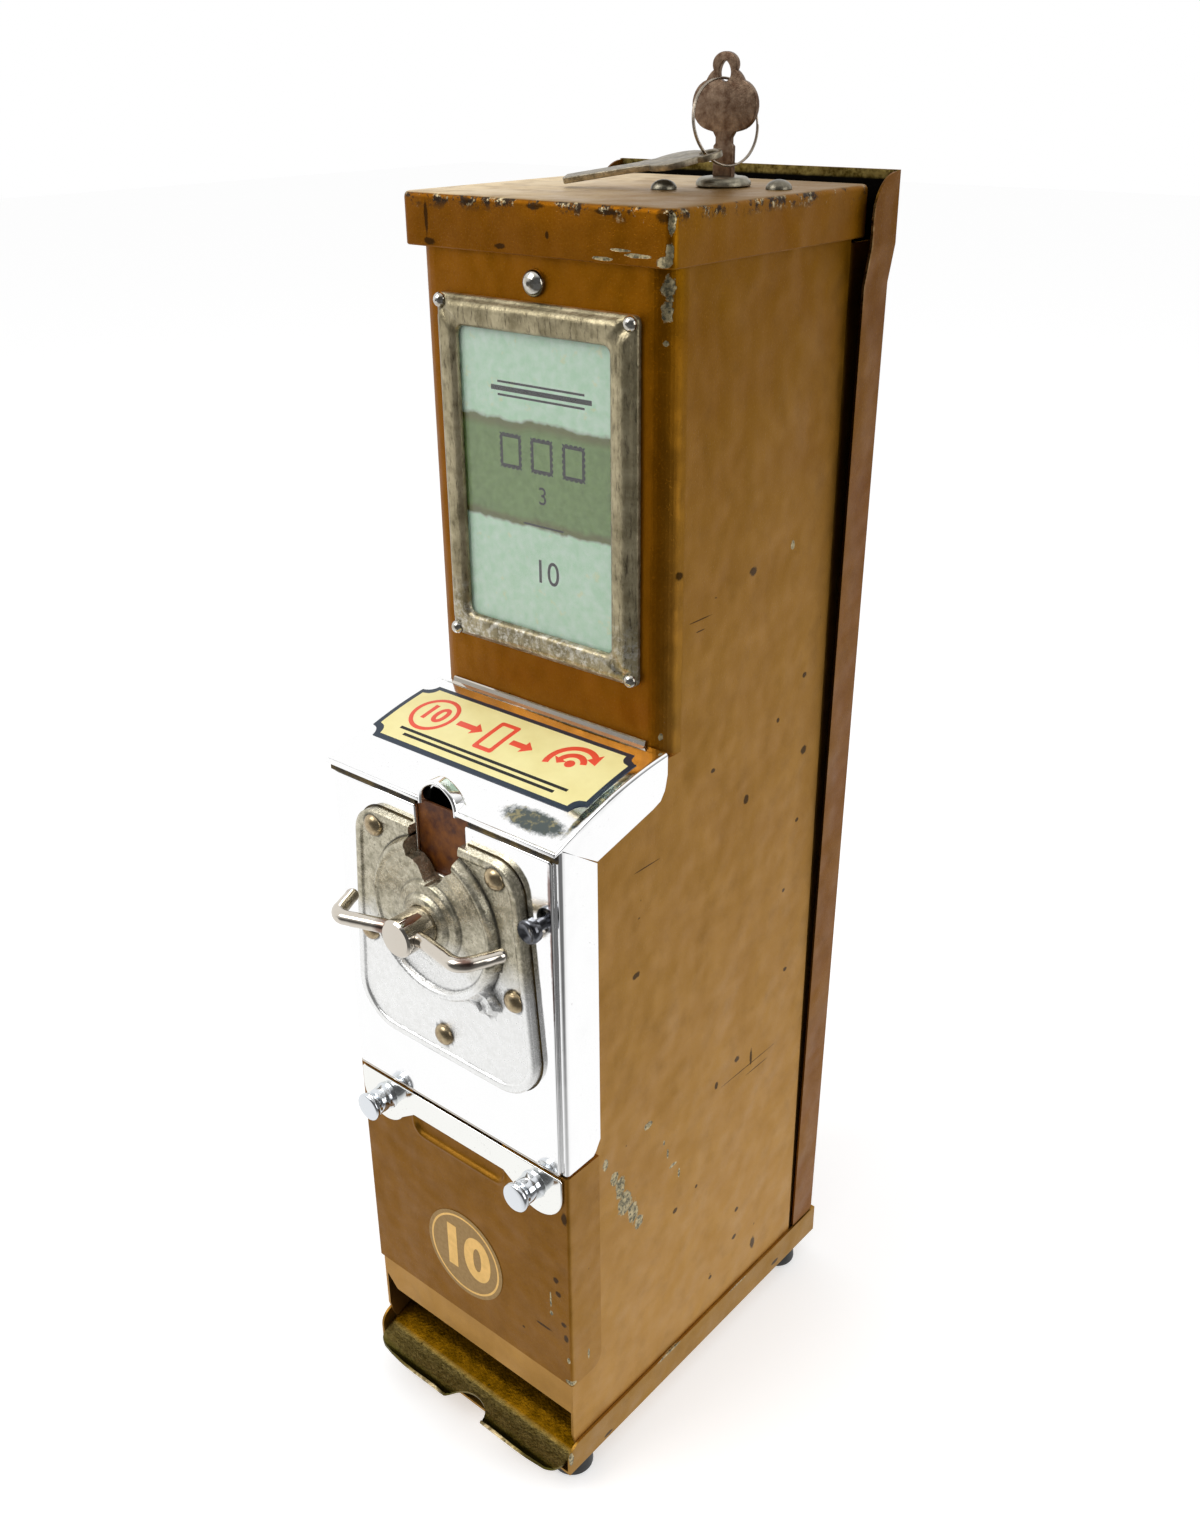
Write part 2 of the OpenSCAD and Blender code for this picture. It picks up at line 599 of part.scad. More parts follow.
// A round bar that starts along +x and turns by a degrees towards +y.
module elbow(r, a) translate([0, r, 0]) intersection() {
    rotate_extrude() translate([r, 0]) circle(rod_d / 2);
    translate([0, 0, -10]) linear_extrude(20) polygon([[0, 0], [0, -3 * r],
        3 * r * [tan(a / 2), -1], 3 * r * [sin(a), -cos(a)]]);
}
module arm_end() translate([arm_root, 0, 0]) {
    mirror([0, 1, 0]) elbow(lean_r, lean);
    translate(lean_r * [sin(lean), cos(lean) - 1, 0]) rotate([0, 0, -lean]) {
        rotate([0, 90, 0]) cylinder(h = arm_run, r = rod_d / 2);
        translate([arm_run, 0, 0]) elbow(bend_r, lean + come_back);
        translate([arm_run + bend_r * sin(lean + come_back), bend_r * (1 - cos(lean + come_back)), 0])
            rotate([0, 0, lean + come_back]) rotate([0, 90, 0]) rotate_extrude()
            polygon([[0, 0], [rod_d / 2, 0], [rod_d / 2, end_run - 2.8],
                [rod_d / 2 - 0.6, end_run - 1.2], [rod_d / 2 - 1.6, end_run - 0.3], [0, end_run]]);
    }
}
module handle_rod() color("#c8c4bc") translate([mech_x, rod_y, mech_z])
    rotate([0, -rod_tilt, 0]) {
        translate([-arm_root, 0, 0]) rotate([0, 90, 0]) cylinder(h = 2 * arm_root, r = rod_d / 2);
        arm_end();
        mirror([1, 0, 0]) arm_end();
    }

module coin_rotor() color("#8c8c80") translate([mech_x, 0, mech_z]) difference() {
    translate([0, 0.2, 0]) rotate([-90, 0, 0]) cylinder(h = 5.2, r = 23);
    translate([0, -1, 0]) rotate([-90, 0, 0]) cylinder(h = 6.6, r = shaft_d / 2 + 0.02);
    translate([0, -1, 0]) rotate([-90, 0, 0]) cylinder(h = 9, r = 5.02);
    translate([0, -1, 21]) rotate([-90, 0, 0]) cylinder(h = 9, r = 9);
}

// Involute flank: point at roll angle t (degrees) from base radius rb.
function inv_pt(rb, t) = rb * [cos(t) + t * PI / 180 * sin(t), sin(t) - t * PI / 180 * cos(t)];
function spin(p, a) = [p.x * cos(a) - p.y * sin(a), p.x * sin(a) + p.y * cos(a)];
base_r = gear_r * cos(20);
roll_pitch = tan(20) * 180 / PI;
roll_tip = sqrt(pow((gear_r + gear_m * 0.92) / base_r, 2) - 1) * 180 / PI;
// half the tooth's angle at the pitch circle, thinned for backlash, and at the base
half_pitch = 90 / gear_teeth - 0.35;
half_base = half_pitch + (roll_pitch - 20);
flank = [for (i = [0:4]) spin(inv_pt(base_r, roll_tip * i / 4), -half_base)];
root_r = gear_r - gear_m * 1.3;
function tooth(a) = [for (p = concat(
    [spin([root_r, 0], -half_base - 0.6)], flank,
    [for (i = [4:-1:0]) [flank[i].x, -flank[i].y]], [spin([root_r, 0], half_base + 0.6)]))
    spin(p, a)];
pitch_a = 360 / gear_teeth;

module sector_gear() color("#a8905c") translate([mech_x, 0, mech_z])
    difference() {
        along(10, 15.6) difference() {
            polygon(concat([for (k = [-1:6]) each tooth(-90 + pitch_a * (k + 0.5))],
                [for (a = [60:30:210]) 9.5 * [cos(a), sin(a)]]));
        }
        translate([0, 5, 0]) rotate([-90, 0, 0]) cylinder(h = 15, r = 5.02);
    }

module retaining_collar() color(steel_c) translate([mech_x, 0, mech_z]) difference() {
    translate([0, 25.6, 0]) rotate([-90, 0, 0]) cylinder(h = 4, r = 8);
    translate([0, 20, 0]) rotate([-90, 0, 0]) cylinder(h = 15, r = 5.02);
}

// Channel behind the cast plate: two flanges, two walls and a bearing plate.
module mech_frame() color("#8c8c80") difference() {
    union() {
        span([mech_x - 44, 20, 217], [mech_x + 44, 21.6, 277]);
        for (s = [-1, 1]) translate([mech_x, 0, 0]) mirror([s < 0 ? 1 : 0, 0, 0]) {
            span([42.6, 0.2, bed_z + 1.6], [44, 20.1, 277]);
            span([25.5, 0.2, bed_z + 1.6], [44, 1.4, 277]);
        }
    }
    translate([mech_x, 15, mech_z]) rotate([-90, 0, 0]) cylinder(h = 10, r = 7.02);
    for (p = rivet_at) translate([mech_x + p.x, -1, mech_z + p.y])
        rotate([-90, 0, 0]) cylinder(h = 3, r = 2.3);
    for (p = rivet_at) translate([mech_x + p.x, 1.4, mech_z + p.y])
        rotate([-90, 0, 0]) cylinder(h = 3, r = 3.6);
    translate([46, -1, button_at.y]) rotate([-90, 0, 0]) cylinder(h = 15, r = 4);
}

module shaft_bush() color("#a8905c") translate([mech_x, 0, mech_z]) difference() {
    union() {
        translate([0, 19.9, 0]) rotate([-90, 0, 0]) cylinder(h = 5.4, r = 7);
        translate([0, 17.6, 0]) rotate([-90, 0, 0]) cylinder(h = 2.3, r = 8.6);
    }
    translate([0, 15, 0]) rotate([-90, 0, 0]) cylinder(h = 15, r = 5.05);
}

// Rack on top, slanted slot below; it slides across under the bed.
slot_len = rack_travel;
module cam_plate() color("#9a9a90") difference() {
    union() {
        span([-17, 12, bed_z - 3], [36, 18.4, bed_z - 1.4]);
        translate([0, 0, bed_z - 3]) linear_extrude(1.6) polygon([[-19, 18], [22, 18],
            [22, pin_y + slot_len * cam_slope + 6], [6, pin_y + slot_len * cam_slope + 6],
            [-19, pin_y + 8]]);
        span([mech_x - 10, 12, bed_z - 3], [35, 14, mech_z - gear_r - 6]);
        along(10.4, 15.2) rack_outline();
    }
    slanted_slot();
}
rack_pitch = PI * gear_m;
module rack_outline() {
    z0 = mech_z - gear_r;
    hw = rack_pitch / 4 - 0.12;
    polygon(concat(
        [[mech_x - 8.2, z0 - 7], [mech_x - 8.2, z0 - gear_m * 1.25]],
        [for (k = [-1:6]) each let (c = mech_x + rack_pitch * k) [
            [c - hw - gear_m * 1.25 * tan(20), z0 - gear_m * 1.25],
            [c - hw + gear_m * 0.92 * tan(20), z0 + gear_m * 0.92],
            [c + hw - gear_m * 0.92 * tan(20), z0 + gear_m * 0.92],
            [c + hw + gear_m * 1.25 * tan(20), z0 - gear_m * 1.25]]],
        [[34.6, z0 - gear_m * 1.25], [34.6, z0 - 7]]));
}
// The slanted slot: two round ends and the straight band between them.
module slanted_slot() {
    L = slot_len * sqrt(1 + cam_slope * cam_slope);
    translate([pin_x, pin_y, bed_z - 5]) rotate([0, 0, atan(cam_slope)]) {
        cylinder(h = 6, r = 2.55);
        translate([L, 0, 0]) cylinder(h = 6, r = 2.55);
        translate([0, -2.55, 0]) cube([L, 5.1, 6]);
    }
}

module slide_bed() color("#8c8c80") difference() {
    union() {
        span([-half + sheet + 0.1, 19, bed_z], [half - sheet - 0.1, 101, bed_z + sheet]);
        // two slings under the bed that carry the cam plate
        for (y = [21, 64]) {
            span([-49.2, y, bed_z - 4.5], [49.2, y + 8, bed_z - 3.3]);
            pair() span([48, y, bed_z - 3.4], [49.2, y + 8, bed_z + 0.1]);
        }
    }
    translate([pin_x, 0, 0]) {
        translate([-2.7, pin_y - 2.7, bed_z - 2]) cube([5.4, slot_len * cam_slope + 5.4, 6]);
    }
}

module ejector_slide() color("#a8a89c") union() {
    difference() {
        span([-31, pin_y - 6, folder_z], [31, 61, folder_z + folder_t]);
        span([4, pin_y + 4, folder_z - 1], [22, 52, folder_z + 3]);
    }
    translate([pin_x, pin_y, bed_z - 3]) cylinder(h = folder_z - bed_z + 3.1, r = 2.5);
    pair() span([29.6, pin_y - 6, folder_z + folder_t - 0.1], [31, 56, folder_z + folder_t + 0.3]);
}

module vended_folder() color("#d8cfae")
    span([-folder_w / 2, 61.15, folder_z], [folder_w / 2, 61.15 + folder_d, folder_z + folder_t]);

// ---- magazine and its stock ----

mag_x = folder_w / 2 + 1.2;
mag_z0 = folder_z + folder_t + 0.8;
mag_z1 = 436;
module magazine() color("#a8a89c") {
    difference() {
        span([-mag_x - 1, 59.6, mag_z0], [mag_x + 1, 61.15 + folder_d + 2.2, mag_z1]);
        span([-mag_x, 60.6, mag_z0 - 1], [mag_x, 61.15 + folder_d + 1.2, mag_z1 + 1]);
        // sight slot down the front
        span([-18, 50, mag_z0 + 22], [18, 60.8, mag_z1 - 20]);
    }
    // straps to the cabinet sides
    pair() for (z = [mag_z0 + 40, mag_z1 - 40])
        span([mag_x + 0.9, 74, z], [half - sheet - 0.05, 88, z + 1.2]);
}

stock_z = mag_z0 + 0.15;
module folder_bundles() color("#c9b98c") for (i = [0:bundles - 1])
    span([-folder_w / 2, 61.2, stock_z + i * (bundle_h + 0.1)],
         [folder_w / 2, 61.2 + folder_d, stock_z + i * (bundle_h + 0.1) + bundle_h]);

weight_z = stock_z + bundles * (bundle_h + 0.1) + 0.2;
module follower_weight() color("#5c5c58") {
    difference() {
        span([-folder_w / 2 + 0.5, 61.6, weight_z], [folder_w / 2 - 0.5, 60.8 + folder_d, weight_z + 16]);
        translate([0, 79, weight_z + 4]) cylinder(h = 20, r = 9);
    }
    translate([0, 79, weight_z + 3.9]) cylinder(h = 15, r = 3);
    translate([0, 79, weight_z + 18]) cylinder(h = 3, r = 6);
}

module coin_chute() color("#8c8c80") difference() {
    union() {
        span([mech_x - 17, 3.5, 160], [mech_x + 17, 10, 214]);
        span([mech_x - 42.4, 3.5, 211], [mech_x + 42.4, 4.3, 215]);
    }
    span([mech_x - 16, 4.3, 150], [mech_x + 16, 9.2, 220]);
    translate([mech_x, 0, mech_z]) rotate([-90, 0, 0]) cylinder(h = 20, r = 24);
}

module coin_return_button() color(chrome_c) translate([button_at.x, 0, button_at.y]) {
    rotate([90, 0, 0]) rotate_extrude() polygon([[0, 6.8], [0, 9.4], [3.6, 9.4], [4.5, 8.5],
        [4.5, 6.2], [3, 6.2], [3, -8], [0, -8]]);
}

// ---- delivery ----

duct_y1 = 141;
module chute_duct() color("#8c8c80") difference() {
    span([-mag_x - 2, 101.6, 60], [mag_x + 2, duct_y1, bed_z - 0.4]);
    span([-mag_x - 1, 102.6, 50], [mag_x + 1, duct_y1 - 1, bed_z + 1]);
    // the front wall ends higher, so that the folders can turn forward
    span([-60, 90, 50], [60, 103, 76]);
}

// Floor of the delivery: back curve, slope, crease and turned-up lip, in (y, z).
floor_pts = concat(
    [for (a = [0:15:75]) [duct_y1 - 22 + 22 * cos(a), 58 - 22 * sin(a)]],
    [[98, 30], [20, 12.2], [7, 8.2], [0.5, 5.6], [-5, 4.2], [-9, 3.8], [-11.5, 4.6], [-13.2, 6.4], [-13.8, 8]]);

module delivery_tray() color(olive) difference() {
    across(-half + sheet + 0.15, half - sheet - 0.15) polygon(bent(floor_pts, 1.2));
    // half-round finger notch, and rounded outer corners
    translate([3, -13.6, -5]) cylinder(h = 30, r = notch_r);
    pair() difference() {
        span([half - sheet - 7, -20, -2], [half, -6.8, 20]);
        translate([half - sheet - 7.15, -6.8, -5]) cylinder(h = 40, r = 7);
    }
}

// ---- cash drawer ----

module drawer_front() color("#a07030") difference() {
    union() {
        span([-cover_x, -1.2, drawer_z0], [cover_x, 0, drawer_z1]);
        pair() across(half + 0.15, cover_x) polygon(concat(
            [[-1.2, drawer_z0], [-1.2, drawer_z1 - 0.4], [16, drawer_z1 - 0.4]],
            [for (a = [0:-15:-90]) [16 - 5 + 5 * cos(a), drawer_z0 + 5 + 5 * sin(a)]]));
        // finger recess pressed into the panel
        span([-25, -1.9, 129.2], [24, -1.1, 130.6]);
    }
    for (s = [-1, 1]) translate([s * knob_x, -5, knob_z]) rotate([-90, 0, 0]) cylinder(h = 8, r = 2.1);
}

// Chrome strip: a straight band with a round tab under each knob.
tab_r = 12;
tab = concat([[24, 138.4]], [for (a = [-145:15:0]) [41 + tab_r * cos(a), 140.5 + tab_r * sin(a)]],
    [[53, 149.2]]);
strip_pts = concat(tab, [for (i = [len(tab) - 1:-1:0]) [-tab[i].x, tab[i].y]]);

module pull_strip() color(chrome_c) difference() {
    along(-2.4, -1.22) polygon(strip_pts);
    for (s = [-1, 1]) translate([s * knob_x, -5, knob_z]) rotate([-90, 0, 0]) cylinder(h = 8, r = 2.1);
}

module pull_knobs() color(chrome_c) for (s = [-1, 1]) {
    turned(s * knob_x, -2.42, knob_z, [[0, 0], [5.6, 0], [5.2, 1], [4.9, 6], [3.6, 6.4], [3.6, 7.4],
        [5.2, 7.8], [5.75, 8.4], [5.75, 9.8], [5.2, 10.4], [0, 10.4]]);
    translate([s * knob_x, -2.5, knob_z]) rotate([-90, 0, 0]) cylinder(h = 5.6, r = 2.05);
    translate([s * knob_x, 1.2, knob_z]) rotate([-90, 0, 0]) cylinder(h = 1.8, r = 3.8, $fn = 6);
}

module price_decal() color("#a08040")
    translate([-1, -1.22, 80]) rotate([90, 0, 0]) cylinder(h = 0.22, r = 20.5, $fn = 64);

module cash_box() color("#8c8c80") difference() {
    span([-46, 0.05, drawer_z0 + 3.4], [46, box_y1, 134]);
    span([-45, 1.05, drawer_z0 + 4.4], [45, box_y1 - 1, 140]);
}

module drawer_runners() color(steel_c) pair() {
    span([44, 8.2, drawer_z0 + 2], [half - sheet - 0.05, 100, drawer_z0 + 3.2]);
    span([half - sheet - 1.2, 8.2, drawer_z0 + 3.1], [half - sheet - 0.05, 100, drawer_z0 + 12]);
}

place() base_pan();
place() rubber_feet();
place() foot_screws();
place() cabinet_body();
place() back_plate();
place() back_screws();
place() latch_bracket();
place() top_cap();
place() cap_rivets();
place() lock_escutcheon();
place() lock_barrel();
place() lock_nut();
place() lock_plug();
place() lock_cam();
place() key();
place() key_ring();
place() spare_key();
place() window_frame();
place() window_glass();
place() price_card();
place() window_screws();
place() top_screw();
place() hood();
place() instruction_plate();
place() front_shell();
place() front_plate();
place() coin_backplate();
place() mech_plate();
place() mech_rivets();
place() handle_shaft();
place() handle_rod();
place() coin_rotor();
place() sector_gear();
place() retaining_collar();
place() mech_frame();
place() shaft_bush();
place() cam_plate();
place() slide_bed();
place() ejector_slide();
place() vended_folder();
place() magazine();
place() folder_bundles();
place() follower_weight();
place() coin_chute();
place() coin_return_button();
place() chute_duct();
place() delivery_tray();
place() drawer_front();
place() pull_strip();
place() pull_knobs();
place() price_decal();
place() cash_box();
place() drawer_runners();
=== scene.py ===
"""Stamp folder vending machine: old bronze paint, chrome front, cast coin plate.

Shapes are worked out in the case frame, in millimetres: x across the front,
y from the lower front to the back, z up from the base pan's underside. SHIFT
takes them to the row frame, in metres.
"""
import json
import math

import bpy
import numpy as np
from mathutils import Matrix, Vector

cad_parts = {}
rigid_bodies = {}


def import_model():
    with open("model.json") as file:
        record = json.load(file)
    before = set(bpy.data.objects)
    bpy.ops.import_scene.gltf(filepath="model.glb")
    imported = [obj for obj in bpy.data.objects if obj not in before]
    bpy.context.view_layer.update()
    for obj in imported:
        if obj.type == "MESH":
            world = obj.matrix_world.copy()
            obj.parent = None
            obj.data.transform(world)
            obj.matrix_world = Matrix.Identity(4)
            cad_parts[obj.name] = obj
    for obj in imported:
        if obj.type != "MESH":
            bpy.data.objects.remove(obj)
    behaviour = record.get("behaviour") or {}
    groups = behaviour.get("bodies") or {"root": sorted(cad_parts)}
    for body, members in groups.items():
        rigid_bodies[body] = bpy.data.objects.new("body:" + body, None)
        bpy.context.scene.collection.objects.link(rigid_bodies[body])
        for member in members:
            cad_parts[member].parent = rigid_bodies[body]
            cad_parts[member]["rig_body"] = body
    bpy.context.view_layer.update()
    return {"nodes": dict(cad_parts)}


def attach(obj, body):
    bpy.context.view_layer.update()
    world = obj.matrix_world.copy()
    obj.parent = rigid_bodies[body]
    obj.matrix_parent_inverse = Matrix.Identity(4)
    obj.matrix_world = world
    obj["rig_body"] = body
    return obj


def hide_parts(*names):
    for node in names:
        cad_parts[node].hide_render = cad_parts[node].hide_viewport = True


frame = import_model()
NODES = frame["nodes"]

SHIFT = np.array([0.0, -72.66, 11.0])
COVER = 55.2              # half width over the chrome cover
STEP_Y = 53.8             # face of the upper box
LOCK = (21.0, 124.0)      # middle of the lock (x, y)
CAP_TOP = 469.4
MECH = (1.0, 241.0)       # middle of the handle shaft (x, z)
WIN_Z = 378.8             # middle of the window
SLOT_X = 2.0              # middle of the coin slot
PLATE_TOP = 279.6
PLATE_FOOT = 151.9
BUTTON = (47.0, 254.5)    # coin return button (x, z)
KNOB = (39.3, 140.5)      # drawer knob, right one (x, z)
DECAL = (-1.0, 80.0)      # middle of the decal (x, z)
LABEL_Y = 29.2            # middle of the hood label
RING_R = 13.2             # key ring


# ---------------------------------------------------------------- mesh tools

def row(points):
    """Case-frame millimetres to row-frame metres: (p + SHIFT) / 1000."""
    return (np.asarray(points, float) + SHIFT) / 1000.0


def grid(nu, nv, close_u=False, close_v=False):
    """Four-sided faces of a grid of nu by nv points, numbered u * nv + v."""
    u = np.arange(nu if close_u else nu - 1)
    v = np.arange(nv if close_v else nv - 1)
    i, j = np.meshgrid(u, v, indexing="ij")
    i2, j2 = (i + 1) % nu, (j + 1) % nv
    return np.stack([i * nv + j, i2 * nv + j, i2 * nv + j2, i * nv + j2], -1).reshape(-1, 4).tolist()


def volume(points, faces):
    """Signed volume: the sum over each face's fan of a . (b x c) / 6."""
    fans = [(f[0], f[k], f[k + 1]) for f in faces for k in range(1, len(f) - 1)]
    a, b, c = np.asarray(points)[np.array(fans)].transpose(1, 0, 2)
    return float(np.einsum("ij,ij->i", a, np.cross(b, c)).sum() / 6.0)


def piece(name, shape, material, body, replaces=(), angle=35.0):
    """Makes a piece of (points, faces) in case-frame mm, faces outward, smooth below angle degrees."""
    points, faces = shape
    points = np.asarray(points, float)
    if volume(points - points.mean(0), faces) < 0:
        faces = [f[::-1] for f in faces]
    mesh = bpy.data.meshes.new(name)
    mesh.from_pydata(row(points).tolist(), [], faces)
    mesh.validate()
    mesh.polygons.foreach_set("use_smooth", np.ones(len(mesh.polygons), bool))
    mesh.set_sharp_from_angle(angle=math.radians(angle))
    thing = bpy.data.objects.new(name, mesh)
    bpy.context.scene.collection.objects.link(thing)
    mesh.materials.append(material)
    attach(thing, body)
    if replaces:
        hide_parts(*replaces)
    return thing


def joined(*shapes):
    """Several (points, faces) as one."""
    points, faces, count = [], [], 0
    for p, f in shapes:
        p = np.asarray(p, float)
        points.append(p)
        faces += [[i + count for i in g] for g in f]
        count += len(p)
    return np.concatenate(points), faces


def loft(rings, ends=True):
    """Skin over closed rings (k, m, 3), each end closed by one flat face."""
    rings = np.asarray(rings, float)
    k, m = rings.shape[:2]
    faces = grid(k, m, close_v=True)
    if ends:
        faces += [list(range(m)), [(k - 1) * m + i for i in range(m)][::-1]]
    return rings.reshape(-1, 3), faces


def shell(sheet, thick):
    """Closed sheet metal: the grid (nu, nv, 3) and the same grid moved by -thick along its normal."""
    sheet = np.asarray(sheet, float)
    normal = np.cross(np.gradient(sheet, axis=0), np.gradient(sheet, axis=1))
    normal /= np.maximum(np.linalg.norm(normal, axis=2, keepdims=True), 1e-9)
    return two_sided(sheet, sheet - thick * normal)


def two_sided(top, under):
    """Closes two grids (nu, nv, 3) that face each other with a wall round their rim."""
    nu, nv = top.shape[:2]
    n = nu * nv
    faces = grid(nu, nv)
    faces += [[n + i for i in f[::-1]] for f in faces]
    rim = [i * nv for i in range(nu)] + [(nu - 1) * nv + j for j in range(1, nv)]
    rim += [i * nv + nv - 1 for i in range(nu - 2, -1, -1)] + list(range(nv - 2, 0, -1))
    faces += [[a, n + a, n + b, b] for a, b in zip(rim, rim[1:] + rim[:1])]
    return np.concatenate([top.reshape(-1, 3), under.reshape(-1, 3)]), faces


def skin(sheet, thick, middle):
    """Sheet metal whose second face lies on the side of the sheet where the point middle is."""
    points, faces = shell(sheet, thick)
    n = len(points) // 2
    far = np.linalg.norm(points - np.asarray(middle, float), axis=1)
    return (points, faces) if far[n:].mean() < far[:n].mean() else shell(sheet, -thick)


def inset(outline, d):
    """The closed outline (m, 2), counter-clockwise, moved inwards by d along its mitred normals."""
    outline = np.asarray(outline, float)
    before, after = np.roll(outline, 1, 0), np.roll(outline, -1, 0)
    e1, e2 = outline - before, after - outline
    e1 /= np.maximum(np.linalg.norm(e1, axis=1, keepdims=True), 1e-9)
    e2 /= np.maximum(np.linalg.norm(e2, axis=1, keepdims=True), 1e-9)
    n1, n2 = np.stack([-e1[:, 1], e1[:, 0]], 1), np.stack([-e2[:, 1], e2[:, 0]], 1)
    bis = n1 + n2
    bis /= np.maximum((bis * n1).sum(1, keepdims=True), 0.35)
    return outline + d * bis


def slab(outline, low, high, edge, put):
    """Extruded outline whose edges are quarter circles of radius edge; put(u, v, w) places it."""
    a = np.radians(np.arange(0, 91, 22.5))
    steps = [(edge * (1 - math.sin(t)), low + edge * (1 - math.cos(t))) for t in a]
    steps += [(edge * (1 - math.cos(t)), high - edge * (1 - math.sin(t))) for t in a]
    steps = [(edge + 0.2, low), *steps, (edge + 0.2, high)]
    rings = []
    for d, w in steps:
        o = inset(outline, d)
        rings.append(put(o[:, 0], o[:, 1], np.full(len(o), w)))
    return loft(np.array(rings))


def facing(x0=0.0, z0=0.0):
    """Places (u, v, w) on a front face: u across, v up, w backwards."""
    return lambda u, v, w: np.stack([x0 + u, w, z0 + v], -1)


def arc(cx, cy, r, a0, a1, n=8):
    """n + 1 points of a circle from angle a0 to a1, in degrees."""
    t = np.radians(np.linspace(a0, a1, n + 1))
    return np.stack([cx + r * np.cos(t), cy + r * np.sin(t)], 1)


def rounded(hw, hh, r, n=8, run=1):
    """Counter-clockwise rectangle with arc corners, run points along each straight side."""
    corners = [arc(sx * (hw - r), sy * (hh - r), r, a, a + 90, n)
               for sx, sy, a in ((1, 1, 0), (-1, 1, 90), (-1, -1, 180), (1, -1, 270))]
    out = []
    for c, nxt in zip(corners, corners[1:] + corners[:1]):
        out.append(c)
        t = np.linspace(0, 1, run + 1)[1:-1, None]
        out.append(c[-1] * (1 - t) + nxt[0] * t)
    return np.concatenate(out)


def turned(profile, at, axis="y", n=48):
    """Profile (radius, height) turned about an axis; height runs to -y or +z from at."""
    profile = np.asarray(profile, float)
    t = np.linspace(0, 2 * np.pi, n, endpoint=False)
    r, h = profile[:, 0, None], np.repeat(profile[:, 1, None], n, 1)
    a, b = r * np.cos(t), r * np.sin(t)
    ring = np.stack([a, -h, b] if axis == "y" else [a, b, h], -1) + np.asarray(at, float)
    return loft(ring)


def tube(path, radius, n=20, closed=False):
    """Round bar along a path (k, 3): rings in the plane across it, turned with it as little as possible."""
    path = np.asarray(path, float)
    if closed:
        run = np.roll(path, -1, 0) - np.roll(path, 1, 0)
    else:
        run = np.gradient(path, axis=0)
    run /= np.linalg.norm(run, axis=1, keepdims=True)
    side = np.cross(run[0], [0.3, 0.2, 1.0])
    sides = []
    for d in run:
        side = side - d * side.dot(d)
        side = side / np.linalg.norm(side)
        sides.append(side)
    sides = np.array(sides)
    ups = np.cross(run, sides)
    t = np.linspace(0, 2 * np.pi, n, endpoint=False)[None, :, None]
    rad = np.broadcast_to(np.asarray(radius, float), (len(path),))[:, None, None]
    rings = path[:, None] + rad * (np.cos(t) * sides[:, None] + np.sin(t) * ups[:, None])
    if closed:
        return rings.reshape(-1, 3), grid(len(path), n, close_u=True, close_v=True)
    return loft(rings)


def flat(outlines, low, high, edge, put):
    """A flat piece with holes: closed outlines filled even-odd, thick from low to high, edges rounded."""
    curve = bpy.data.curves.new("flat", "CURVE")
    curve.dimensions, curve.fill_mode = "2D", "BOTH"
    curve.extrude, curve.bevel_depth = (high - low) / 2 - edge, edge
    curve.bevel_resolution, curve.offset = 2, -edge
    for o in outlines:
        line = curve.splines.new("POLY")
        line.points.add(len(o) - 1)
        line.points.foreach_set("co", np.c_[o, np.zeros(len(o)), np.ones(len(o))].ravel())
        line.use_cyclic_u = True
    return from_curve(curve, (high + low) / 2, put)


def digits(text, height, low, high, put, heavy=0.0):
    """Plain numerals, centred, of a given height, their strokes thickened by heavy mm each side."""
    curve = bpy.data.curves.new("digits", "FONT")
    curve.body, curve.align_x, curve.align_y = text, "CENTER", "CENTER"
    curve.size, curve.extrude, curve.offset = height * 1.38, (high - low) / 2, heavy
    return from_curve(curve, (high + low) / 2, put)


def from_curve(curve, middle, put):
    """The mesh of a flat curve, merged, with its place applied by put."""
    holder = bpy.data.objects.new("holder", curve)
    bpy.context.scene.collection.objects.link(holder)
    bpy.context.view_layer.update()
    mesh = bpy.data.meshes.new_from_object(holder.evaluated_get(bpy.context.evaluated_depsgraph_get()))
    bpy.data.objects.remove(holder)
    co = np.zeros(len(mesh.vertices) * 3)
    mesh.vertices.foreach_get("co", co)
    co = co.reshape(-1, 3)
    keys, back = np.unique(np.round(co, 4), axis=0, return_inverse=True)
    faces = []
    for p in mesh.polygons:
        f = []
        for v in p.vertices:
            i = int(back.ravel()[v])
            if i not in f:
                f.append(i)
        if len(f) > 2:
            faces.append(f)
    bpy.data.meshes.remove(mesh)
    return put(keys[:, 0], keys[:, 1], keys[:, 2] + middle), faces


